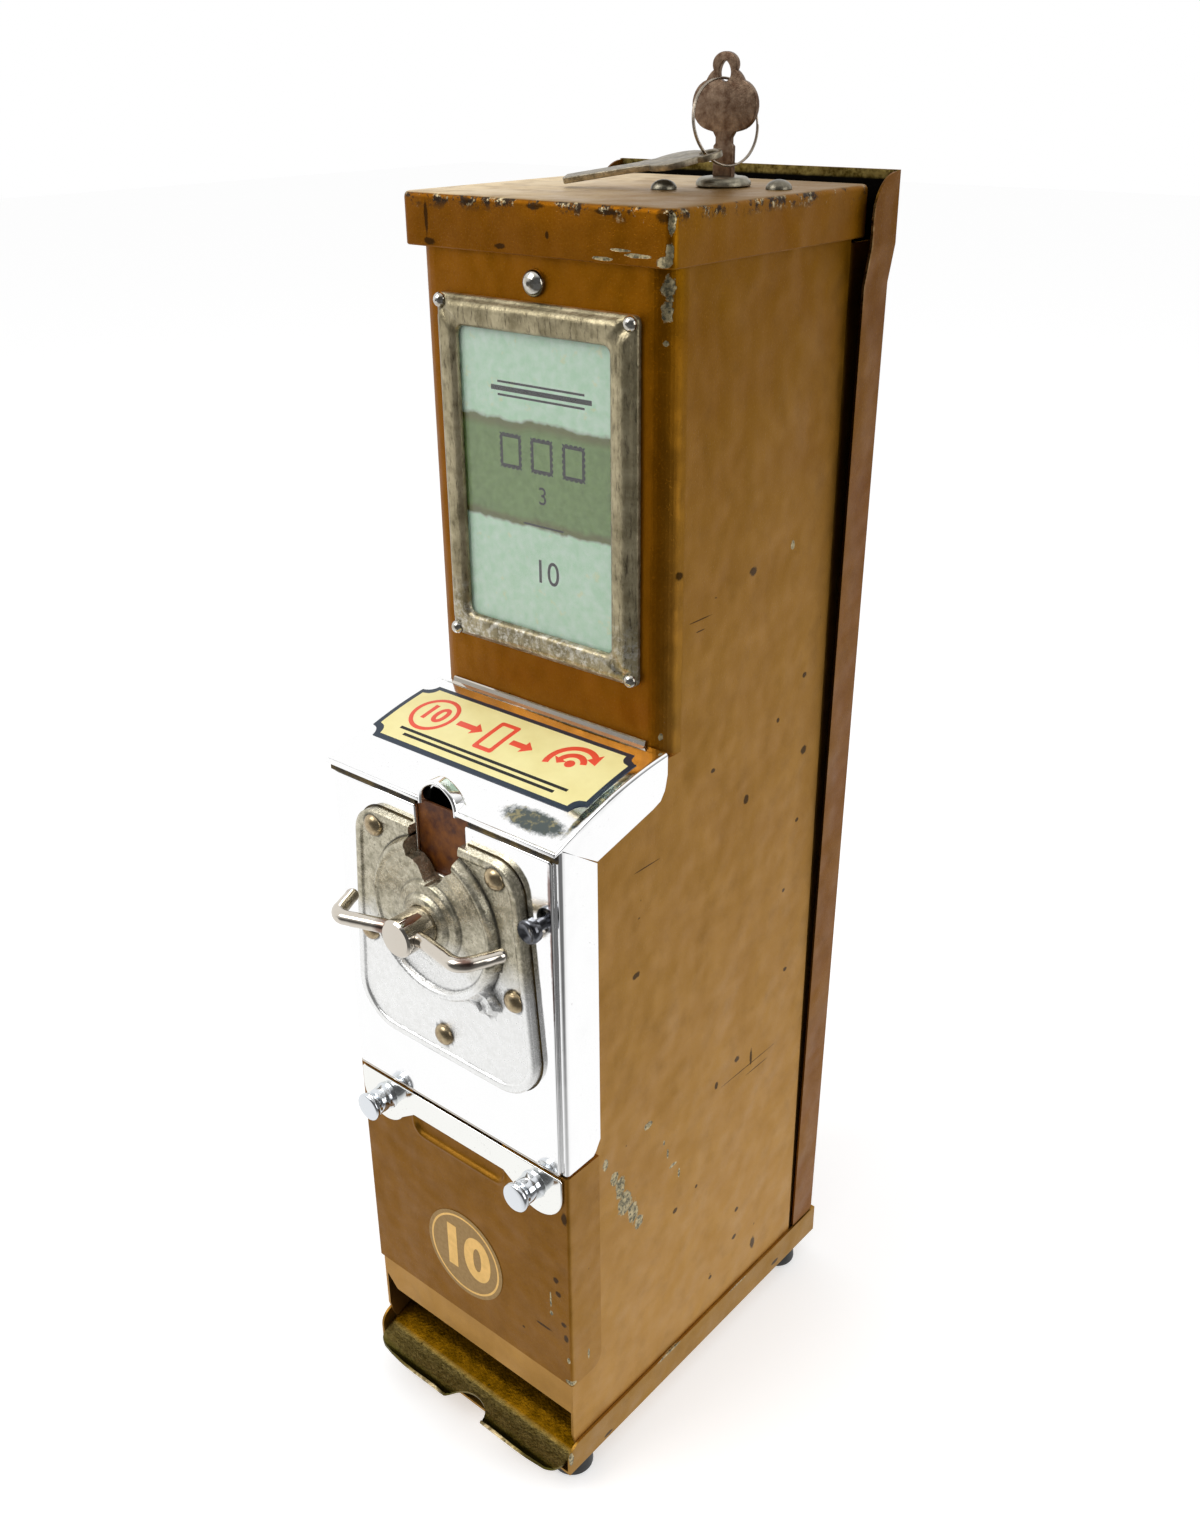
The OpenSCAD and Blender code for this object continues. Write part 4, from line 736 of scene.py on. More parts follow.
def cap_shape():
    """Lift-off cap: rounded rectangles carried up the skirt, round the top edge, and in to the middle."""
    walk = [(40.0, 468.1), (1.6, 468.1), (1.2, 467.6), (1.2, 453.2), (0.9, 452.8), (0.3, 452.8), (0.0, 453.2),
            (0.0, 467.6), (0.15, 468.3), (0.5, 468.9), (1.0, 469.25), (1.7, 469.4), (8.0, 469.4),
            (25.0, 469.38), (50.0, 469.3)]
    rings = []
    for d, z in walk:
        o = rounded(56.6 - d, 53.7 - d, max(3.0 - d, 0.4), 6, 24)
        bow = 0.25 * np.sin((o[:, 0] + 20) / 23.0) * np.sin(o[:, 1] / 31.0) * (1.2 < d < 53)
        rings.append(np.c_[o[:, 0], o[:, 1] + 104.9, np.full(len(o), z) - 0.12 * (d > 6) + 0.1 * bow])
    return loft(rings)


piece("cap_skin", cap_shape(), cap_paint, "cap", ["top_cap"])
for index, a in enumerate((2, 122, 242)):
    at = (LOCK[0] + 21.5 * math.cos(math.radians(a)), LOCK[1] + 21.5 * math.sin(math.radians(a)), CAP_TOP)
    q = np.radians(np.linspace(0, 90, 9))
    dome = np.c_[4.3 * np.cos(q), 2.9 * np.sin(q)]
    shape = turned([(0.02, 0.0), *dome[:-1].tolist(), (0.02, 2.9)], at, "z")
    piece(f"cap_rivet_{index}", shape, dark_dome, "cap", ["cap_rivets"] if index == 0 else ())

at_lock = (*LOCK, CAP_TOP)
piece("lock_face", turned([(7.0, 0.02), (8.6, 0.02), (9.1, 0.4), (9.1, 1.3), (8.7, 2.0), (8.0, 2.6),
                           (7.3, 2.95), (7.0, 3.0)], at_lock, "z"),
      pewter, "cap", ["lock_escutcheon"])


def key_outline():
    """Key in its own plane: eye loop, kidney bow, neck and blade.

    Counter-clockwise from the blade's right foot.
    """
    right = [(3.9, -15), (3.9, 12.2), (3.1, 13.0), (3.1, 14.8), (4.2, 16.4)]
    bow = arc(5.2, 24.4, 7.6, -78, 74, 14).tolist() + [(6.4, 33.0), (5.4, 34.0)]
    eye = arc(0.0, 36.2, 4.9, -24, 90, 12)
    eye[:, 1] = 36.2 + (eye[:, 1] - 36.2) * 0.78
    half = np.array(right + bow + eye.tolist())
    return np.concatenate([half, (half * [-1, 1])[::-1][1:]])


def key_eye():
    """The eye's opening: a pointed arch."""
    t = np.radians(np.arange(0, 360, 12))
    return np.c_[2.3 * np.cos(t) * (1 - 0.18 * np.sin(t)), 34.3 + 3.0 * np.sin(t)]


def key_put(u, v, w):
    """Stands the key's plane upright in the lock, facing the front."""
    return np.stack([LOCK[0] + u, LOCK[1] + w, CAP_TOP + v], -1)


piece("key_in_lock", flat([key_outline(), key_eye()], -0.95, 0.95, 0.3, key_put), key_metal, "key",
      ["key"], angle=30)

RING_TOP = CAP_TOP + 32.3
ring_dir = np.array([math.cos(math.radians(75)), math.sin(math.radians(75)), 0.0])
ring_side = np.array([ring_dir[1], -ring_dir[0], 0.0])
lean, shift, hang = (math.radians(v) for v in (11.0, 7.4, 42.2))
ring_up = math.cos(lean) * np.array([0, 0, 1.0]) - math.sin(lean) * ring_side
ring_centre = np.array([*LOCK, RING_TOP]) - RING_R * (math.cos(shift) * ring_up + math.sin(shift) * ring_dir)
ring_axis = np.cross(ring_dir, ring_up)


def ring_path(turns=1.93, n=150):
    """Split ring: a helix of nearly two turns of radius RING_R, its coils 0.27 mm off the middle plane."""
    t = np.linspace(0.35, 0.35 + 2 * np.pi * turns, n)
    side = 0.27 * np.tanh((t - t.mean()) * 1.1)
    r = RING_R + 0.03 * np.sin(3 * t)
    in_plane = np.outer(r * np.cos(t), ring_dir) + np.outer(r * np.sin(t), ring_up)
    return ring_centre + in_plane + np.outer(side, ring_axis)


piece("split_ring", tube(ring_path(), 0.36, 12), wire, "ring", ["key_ring"], angle=50)

spare_hole = ring_centre - RING_R * (math.cos(hang) * ring_up + math.sin(hang) * ring_dir)


def spare_put():
    """Places the spare key's plane: rolled -9, pitched 8.9 down, headed 201.7, as its node is."""
    head, pitch, roll = (Matrix.Rotation(math.radians(a), 3, axis)
                         for a, axis in ((201.7, "Z"), (8.9, "Y"), (-9, "X")))
    turn = np.array(head @ pitch @ roll)
    return lambda u, v, w: np.stack([u, v, w], -1) @ turn.T + spare_hole


def spare_outline():
    """Spare key: loop, kidney bow, neck, blade."""
    top = [(49, -3.0), (49.4, -2.4), (49.4, 2.0), (48.6, 3.4), (24, 3.4), (22.5, 4.2), (20.5, 4.6)]
    bow = arc(10.5, 0, 9.2, 30, 120, 9).tolist()
    loop = arc(0.2, 0, 5.2, 70, 180, 11).tolist()
    upper = top + bow + loop
    lower = loop[::-1][1:] + bow[::-1] + [(20.5, 4.6), (22.5, 4.2), (24, 3.4)]
    return np.array(upper + [(x, -y) for x, y in lower])


hole = np.radians(np.arange(0, 360, 15))
spare_eye = np.c_[-0.6 + 2.9 * np.cos(hole), 2.9 * np.sin(hole)]
piece("spare_key_grey", flat([spare_outline(), spare_eye], -1.0, 1.0, 0.3, spare_put()),
      spare_metal, "spare", ["spare_key"], angle=30)


# ------------------------------------------------------------ window and card

def window_shape():
    """Frame moulding: its outline moved inwards by d at height h along a rolled section, then back behind."""
    section = [(0.0, 0.0), (0.0, 1.2), (0.25, 1.75), (0.8, 2.1), (1.3, 2.6), (1.7, 3.3), (2.4, 4.0),
               (3.4, 4.4), (4.4, 4.5),
               (7.4, 4.35), (8.6, 4.1), (9.3, 3.6), (9.7, 2.9), (9.8, 2.0), (9.8, 1.95), (5.8, 1.95),
               (5.8, 0.0)]
    screws = np.array([(sx * 40.7, sz * 57.6) for sx in (-1, 1) for sz in (-1, 1)])
    rings = []
    for d, h in section:
        o = rounded(43.0 - d, 60.0 - d, max(2.2 - 0.3 * d, 0.4) if d < 5.8 or h < 1.9 else 3.0, 10, 60)
        if h > 2.4:
            far = np.linalg.norm(o[:, None] - screws, axis=2).min(1)
            heights = np.where(far < 2.8, 2.4, np.minimum(h, 2.4 + (far - 2.8) * 1.6))
        else:
            heights = np.full(len(o), h)
        rings.append(np.stack([o[:, 0], STEP_Y - heights, WIN_Z + o[:, 1]], -1))
    rings = np.array(rings)
    k, m = rings.shape[:2]
    return rings.reshape(-1, 3), grid(k, m, close_u=True, close_v=True)


piece("window_moulding", window_shape(), nickel, "cabinet", ["window_frame"], angle=50)
piece("window_pane", slab(rounded(37.0, 54.0, 1.0, 4), STEP_Y - 1.9, STEP_Y - 0.45, 0.1, facing(0, WIN_Z)),
      glass, "cabinet", ["window_glass"])
piece("mint_card", slab(rounded(36.9, 53.9, 1.0, 4), STEP_Y - 0.4, STEP_Y - 0.02, 0.05, facing(0, WIN_Z)),
      card_paper, "cabinet", ["price_card"])


def bar(x0, x1, z0, z1, low, high, put):
    """A flat printed bar."""
    return slab([(x0, z0), (x1, z0), (x1, z1), (x0, z1)], low, high, 0.005, put)


def stamp_outline(cx, cz, w, h, r=0.55, pitch=2.0):
    """Blank stamp: a rectangle whose edge is bitten by half-round perforations."""
    out = []
    for (ax, az), (bx, bz) in zip(((w, -h), (w, h), (-w, h), (-w, -h)), ((w, h), (-w, h), (-w, -h), (w, -h))):
        length = math.hypot(bx - ax, bz - az)
        count = max(int(length / pitch), 1)
        dx, dz = (bx - ax) / length, (bz - az) / length
        for k in range(count):
            s = (k + 0.5) * length / count
            out.append((ax + dx * (s - r), az + dz * (s - r)))
            out.append((ax + dx * s - dz * r, az + dz * s + dx * r))
            out.append((ax + dx * (s + r), az + dz * (s + r)))
    return [(cx + x, cz + z) for x, z in out]


card_ink = (STEP_Y - 0.43, STEP_Y - 0.4)
front = facing(0.0, 0.0)
marks = [bar(-17, 21, 412.2, 412.9, *card_ink, front), bar(-20, 24, 409.6, 411.2, *card_ink, front),
         bar(-17, 21, 407.9, 408.6, *card_ink, front)]
for k in (-1, 0, 1):
    middle = 2 + 14.0 * k
    opening = [(middle - 3.6, 385.5), (middle + 3.6, 385.5), (middle + 3.6, 394.5), (middle - 3.6, 394.5)]
    marks.append(flat([stamp_outline(middle, 390.0, 5.0, 6.0), opening], *card_ink, 0.004, front))
marks.append(digits("3", 6.2, *card_ink, facing(2.0, 376.5)))
marks.append(bar(-7, 11, 366.0, 366.6, *card_ink, front))
marks.append(digits("10", 8.6, *card_ink, facing(3.0, 350.0)))
piece("card_print", joined(*marks), ink, "cabinet")


# ------------------------------------------------------------------- the hood

def hood_height(y):
    """Top line of the hood: straight from lip to face, bowed up by 2.4 mm."""
    u = (np.asarray(y, float) + 3.0) / 56.8
    return 284.2 + 13.7 * u + 2.4 * 4 * u * (1 - u)


def hood_sheet():
    """Hood: side band, rolled edge, top, rolled edge and side band across, lip to face along.

    Notched over the coin slot.
    """
    y = np.concatenate([np.linspace(-3.0, 0.0, 5), np.linspace(0.6, 16.9, 10), np.linspace(18.5, 50.0, 16),
                        np.linspace(50.6, 53.7, 7)])
    low = np.interp(y, [-3.0, 0.0, 16.9, 46.0, 50.0, 52.4, 53.7],
                    [283.0, 283.2, 272.4, 279.8, 281.3, 284.6, 290.0])
    r = 1.3
    a = np.radians(np.linspace(0, 90, 6))
    stops = np.unique(np.concatenate([np.linspace(-(COVER - r), COVER - r, 60)[1:-1],
                                      [-5.7, -5.5, 9.5, 9.7]]))[::-1]
    sheet = []
    for yy, zt, zl in zip(y, hood_height(y), np.minimum(low, hood_height(y) - 1.5)):
        half = [(COVER, zl + (zt - r - zl) * f) for f in np.linspace(0, 1, 8)]
        half += [(COVER - r + r * math.cos(t), zt - r + r * math.sin(t)) for t in a[1:]]
        line = half + [(x, zt) for x in stops] + [(-x, z) for x, z in half[::-1]]
        sheet.append([(x, yy, z) for x, z in line])
    sheet = np.array(sheet)
    cut = (np.abs(sheet[..., 0] - SLOT_X) < 7.6) & (sheet[..., 1] < 16.9) & (sheet[..., 2] > 283.9)
    back = 2.4 + (sheet[..., 1] + 3.0) * 14.5 / 19.9
    sheet[..., 1] = np.where(cut, back, sheet[..., 1])
    sheet[..., 2] = np.where(cut, hood_height(back), sheet[..., 2])
    return sheet


piece("hood_skin", skin(hood_sheet(), 1.1, (0, 60, 220)), hood_chrome, "cabinet", ["hood"],
      angle=40)


def lip_shape(x0, x1):
    """Rolled lip: a rounded bar in front of the hood's edge from x0 to x1."""
    section = rounded(0.55, 0.95, 0.5, 5)
    ends = [(x0, 0.35), (x0 + 0.15, 0.1), (x0 + 0.4, 0.0), (x1 - 0.4, 0.0), (x1 - 0.15, 0.1), (x1, 0.35)]
    rings = []
    for x, d in ends:
        o = inset(section, d)
        rings.append(np.stack([np.full(len(o), x), -3.4 + o[:, 0], 283.35 + o[:, 1]], -1))
    return loft(rings)


def collar_shape():
    """Half collar over the coin slot: a rounded section carried round a half circle of radius 8.5."""
    t = np.radians(np.linspace(-6, 186, 49))
    section = rounded(0.9, 2.6, 0.85, 6)
    rings = []
    for a in t:
        radius = 8.5 + section[:, 0] + 0.25 * math.sin(3 * a) ** 2
        rings.append(np.stack([SLOT_X + radius * math.cos(a), section[:, 1] - 1.25,
                               282.9 + radius * math.sin(a) * 1.02], -1))
    return loft(rings)


piece("hood_lip", joined(lip_shape(-55.2, -6.6), lip_shape(10.6, 55.2)), hood_chrome, "cabinet")
piece("slot_collar", collar_shape(), hood_chrome, "cabinet", angle=50)
rim = [(53.75, 295.0), (53.75, 299.6), (53.4, 299.9), (52.9, 299.6), (52.5, 298.2), (51.0, 297.6),
       (51.0, 296.6), (52.6, 296.4)]
rim_ends = [[(x, y, z) for y, z in rim] for x in (-46.0, 46.0)]
piece("hood_rim", loft(rim_ends), bar_chrome, "cabinet")


def on_hood(y_mid):
    """Lays (u, v, w) on the hood: u across, v back from y_mid along the sheet, w above it."""
    def put(u, v, w):
        y = y_mid + np.asarray(v, float)
        slope = (hood_height(y + 0.01) - hood_height(y - 0.01)) / 0.02
        n = np.hypot(1, slope)
        return np.stack([np.asarray(u, float) + 0 * y, y - w * slope / n, hood_height(y) + w / n], -1)
    return put


def label_sheet(hw, hv, notch, low, high):
    """Label with quarter-round notches bitten out of its corners: rows along v, width by the notch circle."""
    near_end = hv - notch * (1 - np.cos(np.linspace(0, np.pi / 2, 9)))
    v = np.unique(np.concatenate([np.linspace(-hv, hv, 25), near_end, -near_end]))
    from_end = hv - np.abs(v)
    bite = np.sqrt(np.maximum(notch ** 2 - np.minimum(from_end, notch) ** 2, 0)) * (from_end < notch)
    u = np.linspace(-1, 1, 21)
    uu = u[None] * (hw - bite[:, None])
    vv = np.repeat(v[:, None], 21, 1)
    put = on_hood(LABEL_Y)
    return two_sided(put(uu, vv, np.full(uu.shape, high)), put(uu, vv, np.full(uu.shape, low)))


piece("label_border", label_sheet(51.3, 17.0, 4.4, 0.02, 0.22), label_navy, "cabinet",
      ["instruction_plate"])
piece("label_field", label_sheet(49.3, 15.0, 4.4, 0.2, 0.27), label_cream, "cabinet")


def arrow(x0, x1, v, half=1.3, head=4.0):
    """Straight arrow from x0 to x1."""
    s = 1 if x1 > x0 else -1
    neck, barb = x1 - s * head, head * 0.8
    pts = [(x0, v - half), (neck, v - half), (neck, v - barb), (x1, v), (neck, v + barb), (neck, v + half),
           (x0, v + half)]
    return pts if s > 0 else pts[::-1]


def turn_arrow(cx, cv, r, a0, a1, half=1.15, head=30):
    """Arrow bent round a circle from a0 to a1 degrees, its head the last part of the turn."""
    s = 1 if a1 > a0 else -1
    neck = a1 - s * head
    outer, inner = arc(cx, cv, r + half, a0, neck, 14), arc(cx, cv, r - half, neck, a0, 14)
    barb = half * 2.6
    tip = [arc(cx, cv, rad, a, a, 1)[0].tolist() for rad, a in ((r + barb, neck), (r, a1), (r - barb, neck))]
    out = outer.tolist() + tip + inner.tolist()
    return out if s > 0 else out[::-1]


sign = on_hood(LABEL_Y)
level = (0.26, 0.36)
red = [flat([arc(-34, 2.0, 9.6, 0, 350, 35), arc(-34, 2.0, 8.0, 0, 350, 35)], *level, 0.004, sign),
       digits("10", 8.4, *level, lambda u, v, w: sign(u - 34, v + 2.0, w), 0.35),
       flat([arrow(-22, -10, 2.0)], *level, 0.004, sign),
       flat([rounded(4.6, 8.2, 1.0, 4, 12) + [-3.0, 2.0], rounded(2.8, 6.4, 0.6, 4, 12) + [-3.0, 2.0]],
            *level, 0.004, sign),
       flat([arrow(4, 14, 2.0)], *level, 0.004, sign),
       flat([turn_arrow(31, 2.0, 9.0, 200, 20)], *level, 0.004, sign),
       flat([turn_arrow(31, 2.0, 4.8, 20, 200)], *level, 0.004, sign),
       flat([arc(31, 2.0, 1.9, 0, 350, 24)], *level, 0.004, sign)]
piece("label_marks", joined(*red), label_red, "cabinet")
rules = [bar(-40, 40, -9.9, -8.7, *level, sign), bar(-36, 36, -12.4, -11.2, *level, sign)]
piece("label_rules", joined(*rules), ink, "cabinet")


# ---------------------------------------------------- chrome cover and plate

def u_path(y_back, stops, radius=1.2):
    """Plan of a U-shaped sheet: flange from y_back, rolled corner, front, corner, flange.

    The front lies at y = -1.2 and goes through the stops.
    """
    a = np.radians(np.linspace(0, 90, 6))
    half = [(COVER, y) for y in np.linspace(y_back, radius - 1.2, 14)]
    half += [(COVER - radius + radius * math.cos(t), radius - 1.2 - radius * math.sin(t)) for t in a[1:]]
    return np.array(half + [(x, -1.2) for x in stops] + [(-x, y) for x, y in half[::-1]])


def upright(path, low, high, v, push=None):
    """Sheet standing on the plan path, from low to high at the fractions v, moved back by push(x, z)."""
    z = low + (high - low) * np.asarray(v)[:, None]
    x, y = np.repeat(path[None, :, 0], len(z), 0), np.repeat(path[None, :, 1], len(z), 0)
    if push is not None:
        y = y + push(x, z) * (y < -1.1)
    return np.stack([x, y, z], -1)


EVEN = np.linspace(-53.9, 53.9, 45)


def cover_shape():
    """Chrome cover: the U sheet with mitred flanges and the notch for the coin slot."""
    path = u_path(16.8, np.unique(np.concatenate([EVEN, [-10.6, -10.4, 14.4, 14.6]]))[::-1])
    y = np.maximum(path[:, 1], 0.0)
    low = np.where(y < 13.5, 151.6 + 0.4 * y / 13.5, 152.0 + 5.6 * (y - 13.5) / 3.3)
    high = np.where(path[:, 1] < -0.5, 282.6, 283.6 - 11.8 * y / 16.8)
    notch = (np.abs(path[:, 0] - SLOT_X) < 12.5) & (path[:, 1] < -1.1)
    high = np.where(notch, 255.0, high)
    v = [0, 0.004, 0.02, 0.1, 0.25, 0.4, 0.55, 0.7, 0.85, 0.95, 0.99, 1.0]
    return skin(upright(path, low, high, v), 1.1, (0, 60, 217))


piece("chrome_cover", cover_shape(), front_chrome, "cabinet", ["front_shell"])

coin_notch = [(14.6, PLATE_TOP), (14.0, 279.0), (14.0, 257.0), (13.0, 256.0),
              (-9.0, 256.0), (-10.0, 257.0), (-10.0, 279.0), (-10.6, PLATE_TOP)]
plate = [(52.5, PLATE_FOOT), (52.5, 278.7), (51.6, PLATE_TOP), *coin_notch,
         (-51.6, PLATE_TOP), (-52.5, 278.7), (-52.5, PLATE_FOOT)]
piece("chrome_plate", slab(plate, -2.8, -1.22, 0.55, facing()), front_chrome, "cabinet",
      ["front_plate"])
lower_roll = np.stack([np.linspace(-52.3, 52.3, 60), np.full(60, -2.1), np.full(60, 151.75)], -1)
piece("plate_foot_roll", tube(lower_roll, 0.75, 12), bar_chrome, "cabinet")


# painted shade: dark strips standing for the shadow in the joints under the hood's lip and under the plate:
# (name, left, right, foot, top)
for name, x0, x1, z0, z1 in (("gap_hood_left", -54.6, -10.8, 279.3, 282.55),
                             ("gap_hood_right", 14.8, 54.6, 279.3, 282.55),
                             ("gap_foot", -52.4, 52.4, 150.4, PLATE_FOOT)):
    strip = [(x0, z0), (x1, z0), (x1, z1), (x0, z1)]
    piece(name, slab(strip, -1.9, -1.22, 0.1, facing()), painted_gap_shade, "cabinet")


# ------------------------------------------------------------ cast coin plate

def cast_corner(d):
    """Outline of the cast plate moved inwards by d: top corners of radius 12, foot corners of radius 18."""
    top, low, wt, wb, rt, rb = 32.0 - d, -61.0 + d, 40.0 - d, 45.0 - d, 12.0 - d, 18.0 - d
    return np.concatenate([arc(wt - rt, top - rt, rt, 0, 90, 14), arc(-wt + rt, top - rt, rt, 90, 180, 14),
                           arc(-wb + rb, low + rb, rb, 180, 270, 18),
                           arc(wb - rb, low + rb, rb, 270, 360, 18)])


def ray_out(outline, angles):
    """Where rays from the middle at these angles leave a convex outline."""
    here = np.degrees(np.unwrap(np.arctan2(outline[:, 1], outline[:, 0])))
    loop = np.concatenate([outline, outline[:1]])
    here = np.append(here, here[0] + 360.0)
    out = []
    for a in angles:
        b = (a - here[0]) % 360.0 + here[0]
        k = min(int(np.searchsorted(here, b, side="right")) - 1, len(outline) - 1)
        p, q, t = loop[k], loop[k + 1], math.radians(a)
        d = np.array([math.cos(t), math.sin(t)])
        s = np.cross(p, q - p) / max(np.cross(d, q - p), 1e-9)
        out.append(d * s)
    return np.array(out)


POCKET_L = ([14.2, 15.8, 19.2, 22.3, 24.15], [89.2, 99.5, 103.9, 109.65, 117.1])
POCKET_R = ([14.2, 15.0, 17.96, 21.5, 25.2, 27.9], [89.2, 76.9, 71.2, 68.2, 62.6, 63.6])


def horseshoe(columns=260):
    """Grid over the plate: circles round the shaft whose ends follow the pocket, then blends outwards."""
    t = np.linspace(0, 1, columns)
    rows = []
    radii = np.unique(np.concatenate([np.linspace(7.1, 30.5, 79), [7.6, 10, 11, 14.4, 15.2, 26.6, 28, 29.6]]))
    for r in radii:
        left = np.interp(r, *POCKET_L) if r < 24.15 else math.degrees(math.acos(-11.0 / r))
        reach = min(13.0, 12.4 + 0.1 * (r - 27.9))
        right = np.interp(r, *POCKET_R) if r < 27.9 else math.degrees(math.acos(reach / r))
        a = np.radians(left + (360.0 + right - left) * t)
        rows.append(np.stack([r * np.cos(a), r * np.sin(a)], -1))
    last = rows[-1]
    steps = [(4.4, k / 12.0) for k in range(1, 13)]
    steps += [(d, 1.0) for d in (3.9, 3.6, 3.4, 3.1, 2.6, 1.8, 1.2, 0.8, 0.5, 0.25, 0.08, 0.0)]
    for d, s in steps:
        left, right = math.degrees(math.atan2(32.0 - d, -11.0)), math.degrees(math.atan2(32.0 - d, 13.0))
        rim = ray_out(cast_corner(d), left + (360.0 + right - left) * t)
        rows.append(last * (1 - s) + rim * s)
    return np.array(rows)


def soft_step(x, a, b):
    """0 at a, 1 at b, smooth between."""
    t = np.clip((x - a) / (b - a), 0, 1)
    return t * t * (3 - 2 * t)


def relief(p):
    """Height of the casting over its face: stepped boss rings, crescent guard with its lug, raised rim."""
    u, v = p[..., 0], p[..., 1]
    r, a = np.hypot(u, v), np.degrees(np.arctan2(v, u))
    boss = np.interp(r, [7.1, 7.5, 8.2, 9.7, 10.1, 10.9, 11.3, 14.1, 14.6, 15.1, 15.6, 20.0, 26.2, 26.8,
                         27.5, 28.3, 29.2, 29.8, 30.3],
                     [6.7, 7.1, 7.2, 6.9, 6.6, 5.5, 5.2, 4.9, 4.6, 3.6, 3.2, 2.6, 3.0, 3.3, 3.6, 3.5, 2.9,
                      1.6, 0.0])
    turn = (a + 360.0) % 360.0
    ends = soft_step(turn, 192, 204) * (1 - soft_step(turn, 346, 356))
    guard = 5.4 * ends * np.sqrt(np.clip(1 - ((r - 29.0) / 2.35) ** 2, 0, 1)) ** 0.7
    c, s = math.cos(math.radians(-47)), math.sin(math.radians(-47))
    along, across = u * c + v * s, -u * s + v * c
    off = np.abs(across)
    lug = 3.2 * soft_step(off, 4.75, 4.25) * soft_step(along, 38.5, 37.9) * soft_step(along, 28.5, 29.5)
    lug -= 1.2 * soft_step(off, 2.9, 2.3) * soft_step(along, 37.0, 36.2) * soft_step(along, 31.0, 31.8)
    pits = 0.05 * np.sin(u * 2.3 + 1.7 * np.sin(v * 1.9)) * np.sin(v * 2.7 + 1.3 * np.sin(u * 1.3))
    return np.maximum(np.maximum(boss, guard), lug) + pits * (r > 15.5)


def cast_shape():
    """The casting: relief over the grid, a flat back, walls between; seam points merged."""
    p = horseshoe()
    nu, nv = p.shape[:2]
    high = relief(p)
    rim = np.zeros((nu, 1))
    rim[-12:, 0] = [0.0, 0.3, 0.6, 0.75, 0.8, 0.8, 0.75, 0.6, 0.45, 0.2, -0.1, -0.5]
    high = np.where(np.arange(nu)[:, None] >= nu - 12, np.maximum(rim, high * (rim > -0.05)), high)
    top = np.stack([MECH[0] + p[..., 0], -5.8 - high, MECH[1] + p[..., 1]], -1)
    back = np.stack([MECH[0] + p[..., 0], np.full((nu, nv), -2.82), MECH[1] + p[..., 1]], -1)
    n = nu * nv
    faces = grid(nu, nv)
    faces += [[n + i for i in f[::-1]] for f in faces]
    closed = np.linalg.norm(p[:, 0] - p[:, -1], axis=1) < 1e-6
    edge = [(j, j + 1) for j in range(nv - 1)]
    edge += [((nu - 1) * nv + j + 1, (nu - 1) * nv + j) for j in range(nv - 1)]
    for i in range(nu - 1):
        if not (closed[i] and closed[i + 1]):
            edge += [((i + 1) * nv, i * nv), (i * nv + nv - 1, (i + 1) * nv + nv - 1)]
    faces += [[a, b, n + b, n + a] for a, b in edge]
    points = np.concatenate([top.reshape(-1, 3), back.reshape(-1, 3)])
    keys, where = np.unique(np.round(points, 5), axis=0, return_inverse=True)
    where = where.ravel()
    kept = []
    for f in faces:
        g = [int(where[i]) for i in f]
        g = [i for k, i in enumerate(g) if i != g[k - 1]]
        if len(g) > 2:
            kept.append(g)
    return keys, kept


RIVETS = ((-29.5, 26), (29.5, 26), (-36, -19.5), (36, -19.5), (0, -50))    # from the shaft (x, z)


def crevice(u, v):
    """How far the casting stands higher 0.9 mm around a point than at it, 0..1, and 1 round the rivets' feet.
    """
    here = np.stack([u, v], -1)
    around = [relief(here + 0.9 * np.array([math.cos(t), math.sin(t)]))
              for t in np.radians(np.arange(0, 360, 45))]
    deep = np.clip((np.mean(around, axis=0) - relief(here)) / 0.45, 0, 1)
    for du, dv in RIVETS:
        deep = np.maximum(deep, 1 - soft_step(np.hypot(u - du, v - dv), 4.4, 5.3))
    return deep


# painted shade: a dark ring round the casting's edge, standing for the shade where it stands off the plate
ring = np.linspace(111.0, 426.0, 180)
dirt = np.concatenate([ray_out(cast_corner(-0.7), ring), ray_out(cast_corner(0.6), ring)[::-1]])
piece("casting_edge_shade", flat([dirt], -2.93, -2.8, 0.02, facing(*MECH)), painted_gap_shade, "cabinet")
casting = piece("coin_casting", cast_shape(), cast_metal, "cabinet", ["mech_plate"], angle=42)
at = np.zeros(len(casting.data.vertices) * 3)
casting.data.vertices.foreach_get("co", at)
at = at.reshape(-1, 3) * 1000.0 - SHIFT
hollow_darkening = casting.data.attributes.new("hollow_darkening", "FLOAT", "POINT")
hollow_darkening.data.foreach_set("value", crevice(at[:, 0] - MECH[0], at[:, 2] - MECH[1]))
for index, (du, dv) in enumerate(RIVETS):
    q = np.radians(np.linspace(0, 84, 9))
    dome = [(4.2 * math.cos(t), 0.25 + 2.6 * math.sin(t)) for t in q]
    shape = turned([(0.02, -0.1), (4.2, -0.1), *dome, (0.02, 2.86)], (MECH[0] + du, -5.82, MECH[1] + dv))
    stands_for = ["mech_rivets"] if index == 0 else ()
    piece(f"plate_rivet_{index}", shape, rivet_metal, "cabinet", stands_for)


# ------------------------------------------------------------------- handle

ROD_Y, ARM_ROOT, LEAN, LEAN_R, ARM_RUN, BACK, BEND_R, END_RUN = -20.6, 7.4, 13.7, 12.0, 16.35, 64.3, 6.0, 12.3


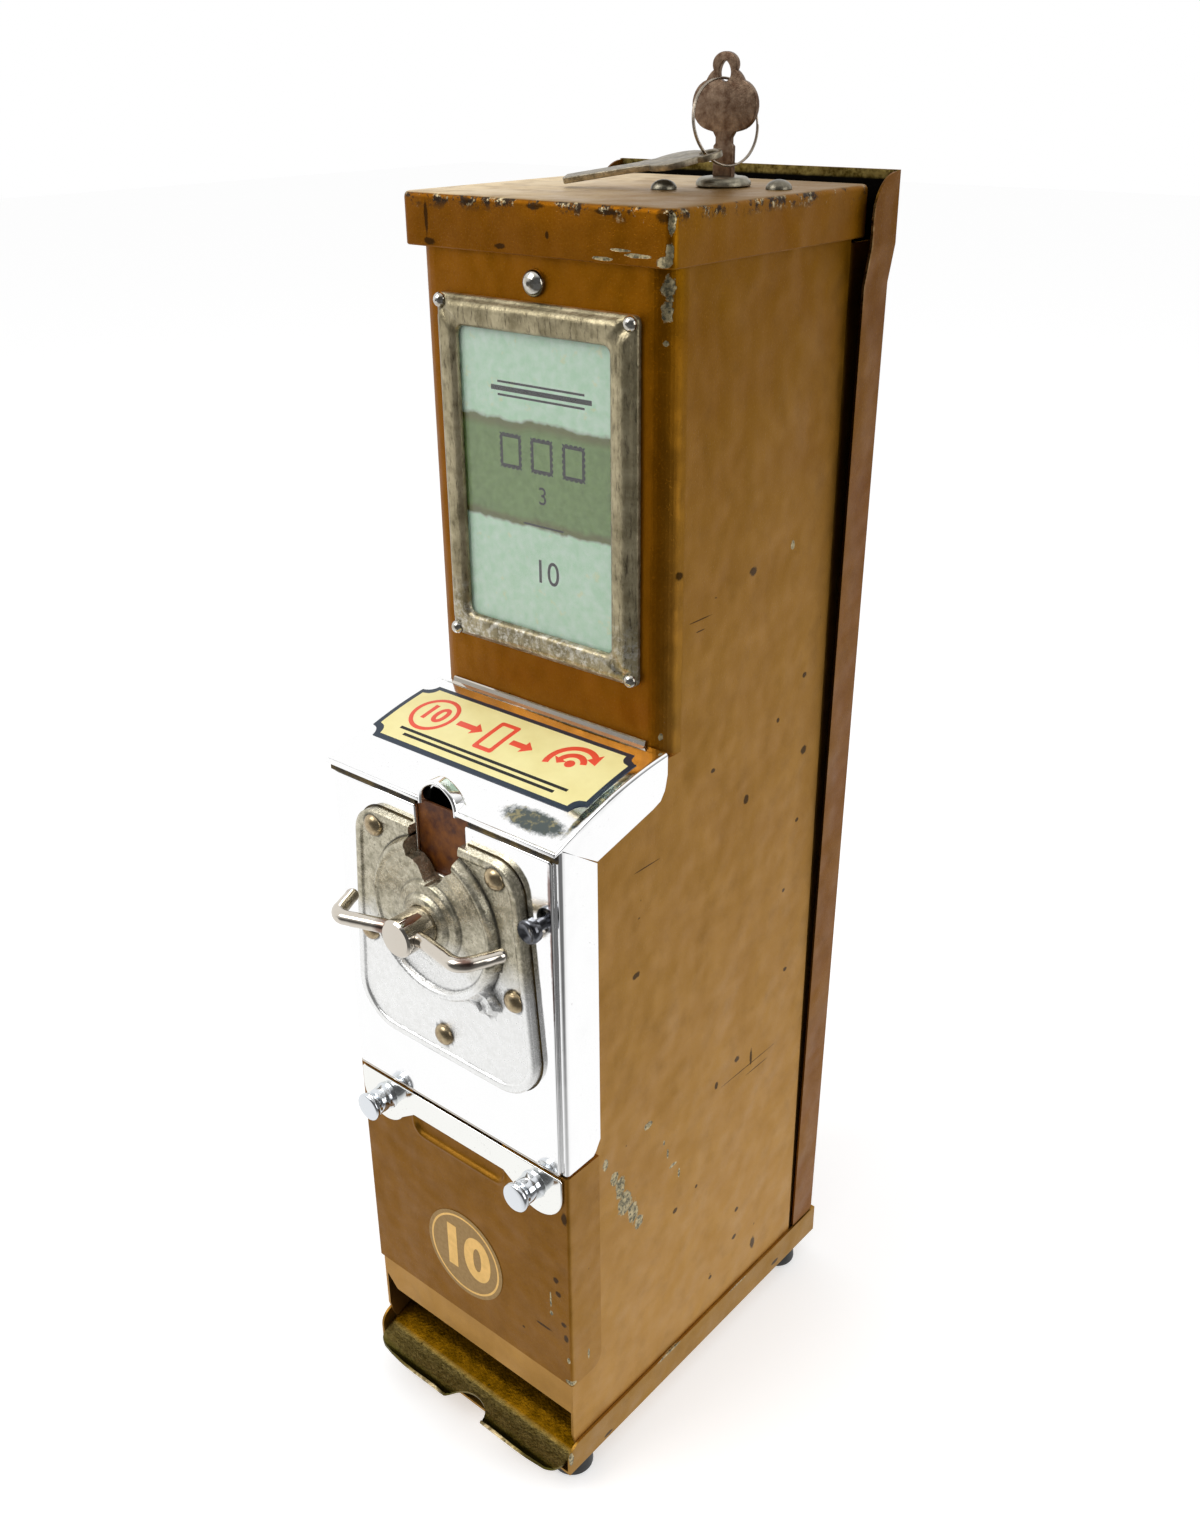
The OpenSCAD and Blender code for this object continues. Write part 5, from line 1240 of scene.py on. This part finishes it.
def arm_path():
    """Centre line of one arm as (distance out, distance back).

    Straight, lean arc forwards, run, bend arc, end run.
    """
    pts = [(0.0, 0.0), (ARM_ROOT, 0.0)]
    a = np.radians(np.linspace(0, LEAN, 6))[1:]
    pts += [(ARM_ROOT + LEAN_R * math.sin(t), -LEAN_R * (1 - math.cos(t))) for t in a]
    x, y, t = *pts[-1], -math.radians(LEAN)
    pts += [(x + s * math.cos(t), y + s * math.sin(t)) for s in np.linspace(0, ARM_RUN, 9)[1:]]
    x, y = pts[-1]
    cx, cy = x - BEND_R * math.sin(t), y + BEND_R * math.cos(t)
    for b in np.linspace(t, math.radians(BACK), 16)[1:]:
        pts.append((cx + BEND_R * math.sin(b), cy - BEND_R * math.cos(b)))
    x, y = pts[-1]
    b = math.radians(BACK)
    ends = np.concatenate([np.linspace(0, END_RUN - 3.0, 6)[1:],
                           END_RUN - np.array([2.2, 1.5, 0.9, 0.45, 0.15, 0.0])])
    pts += [(x + s * math.cos(b), y + s * math.sin(b)) for s in ends]
    return np.array(pts)


def rod_shape():
    """Handle rod: both arms swept, thinner where hands wore it, its ends rounded."""
    arm = arm_path()
    run = np.concatenate([[0], np.cumsum(np.linalg.norm(np.diff(arm, axis=0), axis=1))])
    left = run[-1] - run
    radius = 2.7 * np.sqrt(np.clip(1 - np.clip(1 - left / 2.3, 0, 1) ** 2.4, 0.0004, 1))
    radius = radius * (1 - 0.035 * np.sin(run * 0.55) ** 2) - 0.1 * (left < 8)
    both = np.concatenate([(arm * [-1, 1])[::-1], arm[1:]])
    tilt = math.radians(4.3)
    path = np.stack([MECH[0] + both[:, 0] * math.cos(tilt), ROD_Y + both[:, 1],
                     MECH[1] + both[:, 0] * math.sin(tilt)], -1)
    return tube(path, np.maximum(np.concatenate([radius[::-1], radius[1:]]), 0.03), 24)


piece("handle_bar", rod_shape(), bar_chrome, "handle", ["handle_rod"], angle=60)
from_cad("shaft_metal", "handle_shaft", bar_chrome, 0.35)
button = [(0.02, 0.5), (2.2, 0.5), (2.2, 6.0), (4.5, 6.2), (4.6, 7.6), (4.5, 8.6), (4.1, 9.2), (3.6, 9.4),
          (3.2, 9.2), (2.4, 8.5), (1.2, 8.1), (0.02, 8.0)]
piece("return_button", turned(button, (BUTTON[0], 0.0, BUTTON[1])), button_dark_reflection, "button",
      ["coin_return_button"])


# ------------------------------------------------------------------- drawer

def pressed(x, z):
    """Finger recess: 1.1 mm deep with rounded foot corners, under the strip."""
    side = np.minimum(x + 25.0, 23.0 - x)
    foot = z - 129.5
    corner = np.hypot(np.maximum(5.0 - side, 0), np.maximum(5.0 - foot, 0))
    inside = np.where((side < 5) & (foot < 5), 5.0 - corner, np.minimum(side, foot))
    lip = -0.45 * np.exp(-((inside + 0.5) / 0.9) ** 2)
    return 1.1 * soft_step(inside, -0.4, 1.4) + lip * (z < 149)


def drawer_shape():
    """Drawer front: U sheet with the recess pressed in; flange ends rounded at the foot by radius 5."""
    stops = np.unique(np.concatenate([EVEN, np.linspace(-27.0, -22.0, 12),
                                      np.linspace(20.0, 25.0, 12)]))[::-1]
    path = u_path(16.0, stops)
    y = np.maximum(path[:, 1], 0.0)
    low = 46.8 + np.where(y > 11.0, 5.0 - np.sqrt(np.maximum(25.0 - (y - 11.0) ** 2, 0)), 0.0)
    high = np.full(len(path), 150.2)
    v = np.concatenate([[0, 0.006, 0.02], np.linspace(0.05, 0.76, 16), np.linspace(0.77, 0.86, 16),
                        np.linspace(0.88, 1.0, 6)])
    return skin(upright(path, low, high, v, pressed), 1.1, (0, 60, 100))


piece("drawer_skin", drawer_shape(), drawer_paint, "drawer", ["drawer_front"], angle=50)


def strip_outline():
    """Straight band with a round tab of radius 12 under each knob."""
    tab = [(24.0, 138.4)] + arc(41.0, 140.5, 12.0, -145, 0, 16).tolist() + [(53.0, 148.2), (52.2, 149.2)]
    tab = np.array(tab)
    return np.concatenate([tab, (tab * [-1, 1])[::-1]])


piece("strip_plate", slab(strip_outline(), -2.4, -1.22, 0.4, facing()), strip_chrome, "drawer",
      ["pull_strip"])
knob = [(0.02, 0), (5.6, 0), (5.6, 0.5), (5.25, 0.95), (5.0, 3.0), (4.85, 5.6), (4.5, 6.15), (3.7, 6.4),
        (3.6, 6.9), (3.7, 7.4), (4.9, 7.7),
        (5.5, 8.1), (5.75, 8.7), (5.75, 9.6), (5.5, 10.05), (5.0, 10.3), (3.0, 10.4), (0.02, 10.4)]
for index, s in enumerate((-1, 1)):
    stands_for = ["pull_knobs"] if index == 0 else ()
    piece(f"knob_{index}", turned(knob, (KNOB[0] * s, -2.42, KNOB[1]), n=64), knob_chrome, "drawer",
          stands_for)

disc = arc(0, 0, 20.5, 0, 354, 59)
piece("decal_film", slab(disc, -1.42, -1.21, 0.05, facing(*DECAL)), decal_gold, "drawer",
      ["price_decal"])
ring_marks = flat([arc(*DECAL, 18.8, 0, 354, 59), arc(*DECAL, 17.9, 0, 354, 59)], -1.46, -1.41, 0.01,
                  facing())
piece("decal_marks", joined(ring_marks, digits("10", 20.0, -1.46, -1.41, facing(*DECAL), 1.2)), decal_pale,
      "drawer")


# --------------------------------------------------------------------- tray

def tray_curve():
    """Tray section in (y, z): back curve, slope, crease, and turned-up lip, resampled evenly by length."""
    back = arc(119.0, 58.0, 22.0, 0, -75, 10)
    front = np.array([(98, 30), (20, 12.2), (7, 8.4), (2.2, 6.4), (0.2, 5.3), (-2.5, 4.7), (-6, 4.2),
                      (-9, 3.9), (-11.0, 4.4), (-12.6, 5.6), (-13.5, 7.0), (-13.9, 8.2)])
    line = np.concatenate([back, front])
    run = np.concatenate([[0], np.cumsum(np.linalg.norm(np.diff(line, axis=0), axis=1))])
    return run, line


def tray_shape():
    """Tray: the section carried across the front.

    Each column ends where the notch, the bowed lip or its round corner ends.
    """
    run, line = tray_curve()
    x = np.unique(np.concatenate([np.linspace(-52.6, 52.6, 50),
                                  3 + 10.5 * np.cos(np.radians(np.arange(0, 181, 7.5))), [-7.6, 13.6],
                                  -46.6 - 6.0 * np.sin(np.radians(np.arange(0, 90, 8))),
                                  46.6 + 6.0 * np.sin(np.radians(np.arange(0, 90, 8)))]))
    from_notch = np.abs(x - 3.0)
    edge = -13.9 + 4.6 * np.clip((from_notch - 16.0) / 36.0, 0, 1) ** 2
    edge += 1.2 * np.clip((14.0 - from_notch) / 3.5, 0, 1)
    near = from_notch < 10.5
    edge[near] = -12.7 + 9.0 * (1 - (from_notch[near] / 10.5) ** 2) ** 0.5
    corner = np.clip((np.abs(x) - 46.6) / 6.0, 0, 1)
    edge += 6.0 * (1 - np.sqrt(1 - corner ** 2))
    total = np.interp(-edge, -line[:, 0], run)
    f = np.concatenate([np.linspace(0, 0.82, 26), np.linspace(0.83, 1.0, 36)])
    sheet = []
    for xx, length in zip(x, total):
        s = np.where(f < 0.82, f * run[-1], 0.82 * run[-1] + (f - 0.82) / 0.18 * (length - 0.82 * run[-1]))
        yy, zz = np.interp(s, run, line[:, 0]), np.interp(s, run, line[:, 1])
        sheet.append(np.stack([np.full(len(s), xx), yy, zz], -1))
    return skin(np.array(sheet), 1.15, (0, 20, 200))


piece("tray_skin", tray_shape(), tray_paint, "cabinet", ["delivery_tray"], angle=50)


# ------------------------------------------------- pieces kept from the frame

for name, node, material, edge in (
        ("case_body", "cabinet_body", cabinet_paint, 0.35),
        ("back_sheet", "back_plate", back_paint, 0.3),
        ("pan", "base_pan", pan_paint, 0.35),
        ("feet", "rubber_feet", rubber, 0.4),
        ("frame_screws", "window_screws", screw_metal, 0.0),
        ("face_screw", "top_screw", screw_metal, 0.0),
        ("slot_backplate", "coin_backplate", rusty, 0.2),
        ("plug", "lock_plug", pewter, 0.15),
        ("barrel", "lock_barrel", brass, 0.2),
        ("cash_tin", "cash_box", zinc, 0.2),
        ("weight", "follower_weight", iron, 0.4),
        ("bundles", "folder_bundles", folder_paper, 0.25)):
    from_cad(name, node, material, edge)


def dress(material, *nodes):
    """Gives CAD nodes a material, unchanged in shape."""
    for n in nodes:
        NODES[n].data.materials.clear()
        NODES[n].data.materials.append(material)


dress(zinc, "foot_screws", "back_screws", "latch_bracket", "lock_nut", "lock_cam", "coin_rotor",
      "retaining_collar", "mech_frame", "cam_plate", "slide_bed", "ejector_slide", "magazine", "coin_chute",
      "chute_duct", "drawer_runners")
dress(brass, "sector_gear", "shaft_bush")
dress(folder_paper, "vended_folder")


# -------------------------------------------------------- camera and lighting

def look(azimuth, elevation, roll):
    """Camera axes as columns (right, up, back).

    They come from azimuth and elevation of the way back to the camera, then are rolled.
    """
    a, e, r = (math.radians(v) for v in (azimuth, elevation, roll))
    back = np.array([math.sin(a) * math.cos(e), -math.cos(a) * math.cos(e), math.sin(e)])
    right = np.cross(-back, [0, 0, 1])
    right /= np.linalg.norm(right)
    down = np.cross(-back, right)
    right, down = math.cos(r) * right - math.sin(r) * down, math.sin(r) * right + math.cos(r) * down
    return np.array([right, -down, back]).T


CAMERA_AT = (323.161, -294.021, 507.367)          # case-frame mm
CAMERA_TURN = (40.60196, 26.049715, -0.562904)    # azimuth, elevation and roll, degrees
LENS, SENSOR, NEAREST = 33.970, 36.0, 0.01        # mm, mm, m
camera = bpy.data.objects.new("camera", bpy.data.cameras.new("camera"))
camera.data.lens, camera.data.sensor_width, camera.data.clip_start = LENS, SENSOR, NEAREST
turn = Matrix(look(*CAMERA_TURN).tolist()).to_4x4()
camera.matrix_world = Matrix.Translation(Vector(row(CAMERA_AT).tolist())) @ turn
bpy.context.scene.collection.objects.link(camera)
bpy.context.scene.camera = camera


def lamp(name, place, aim, size, power, tint="#ffffff"):
    """Square area lamp at place, aimed at aim, both in case-frame mm."""
    data = bpy.data.lights.new(name, "AREA")
    data.shape, data.size, data.energy, data.color = "SQUARE", size, power, colour(tint)[:3]
    made = bpy.data.objects.new(name, data)
    here, there = Vector(row(place).tolist()), Vector(row(aim).tolist())
    aimed = (there - here).to_track_quat("-Z", "Y")
    made.matrix_world = Matrix.Translation(here) @ aimed.to_matrix().to_4x4()
    bpy.context.scene.collection.objects.link(made)
    return made


MIDDLE = (0, 60, 240)    # of the case
lamp("key_lamp", (-500, -900, 1300), MIDDLE, 0.9, 9.0)
lamp("side_lamp", (1300, 200, 700), MIDDLE, 0.9, 6.0)

# room: full white to the camera and through glass; reflections are bright only up and to the left
world = bpy.data.worlds.new("room")
bpy.context.scene.world = world
world.use_nodes = True
tree = world.node_tree
tree.nodes.clear()
seen = add(tree, "LightPath", out="Is Camera Ray").node
direction = add(tree, "TexCoord", out="Generated")
dim = add(tree, "VectorMath", {"operation": "DOT_PRODUCT"}, {0: direction, 1: (-0.61, 0.5, 0.61)}, "Value")
dim = add(tree, "MapRange", None,
          {"Value": dim, "From Min": -0.2, "From Max": 0.3, "To Min": 0.1, "To Max": 1.0})
glossy = add(tree, "Mix", {"data_type": "FLOAT"}, {0: seen.outputs["Is Glossy Ray"], 2: 0.72, 3: dim})
level = add(tree, "Math", {"operation": "MAXIMUM"}, {0: seen.outputs["Is Camera Ray"], 1: glossy})
level = add(tree, "Math", {"operation": "MAXIMUM"}, {0: seen.outputs["Is Transmission Ray"], 1: level})
sky = add(tree, "Background", None, {"Color": "#ffffff", "Strength": level})
add(tree, "OutputWorld", None, {"Surface": sky})

# floor just under the feet: chalk with a glow for the camera; reflections of it darken to the front right
FLOOR_HALF, FLOOR_Z = 6, -0.0005    # m
square = [(sx * FLOOR_HALF, sy * FLOOR_HALF, FLOOR_Z) for sx, sy in ((-1, -1), (1, -1), (1, 1), (-1, 1))]
floor_mesh = bpy.data.meshes.new("floor")
floor_mesh.from_pydata(square, [], [(0, 1, 2, 3)])
floor = bpy.data.objects.new("floor", floor_mesh)
bpy.context.scene.collection.objects.link(floor)
floor_paint, tree, _ = new_material("white floor")
ahead = add(tree, "VectorMath", {"operation": "DOT_PRODUCT"},
            {0: add(tree, "TexCoord", out="Object"), 1: (0.76, -0.65, 0.0)}, "Value")
ahead = add(tree, "MapRange", None,
            {"Value": ahead, "From Min": 0.1, "From Max": 0.4, "To Min": 1.0, "To Max": 0.15})
flash = add(tree, "Emission", None, {"Color": "#ffffff", "Strength": ahead})
chalk = add(tree, "BsdfDiffuse", None, {"Color": "#e8e8e8"})
glow = add(tree, "Emission", None, {"Color": "#ffffff", "Strength": 0.4})
shade = add(tree, "Emission", None, {"Color": "#ffffff", "Strength": 0.0})
rays = add(tree, "LightPath", out="Is Camera Ray").node
bare = add(tree, "Math", {"operation": "MAXIMUM"},
           {0: rays.outputs["Is Glossy Ray"], 1: rays.outputs["Is Transmission Ray"]})
lit = add(tree, "AddShader", None,
          {0: add(tree, "MixShader", None, {0: rays.outputs["Is Camera Ray"], 1: shade, 2: glow}), 1: chalk})
add(tree, "OutputMaterial", None, {"Surface": add(tree, "MixShader", None, {0: bare, 1: lit, 2: flash})})
floor_mesh.materials.append(floor_paint)

bpy.context.scene.view_settings.view_transform = "Standard"
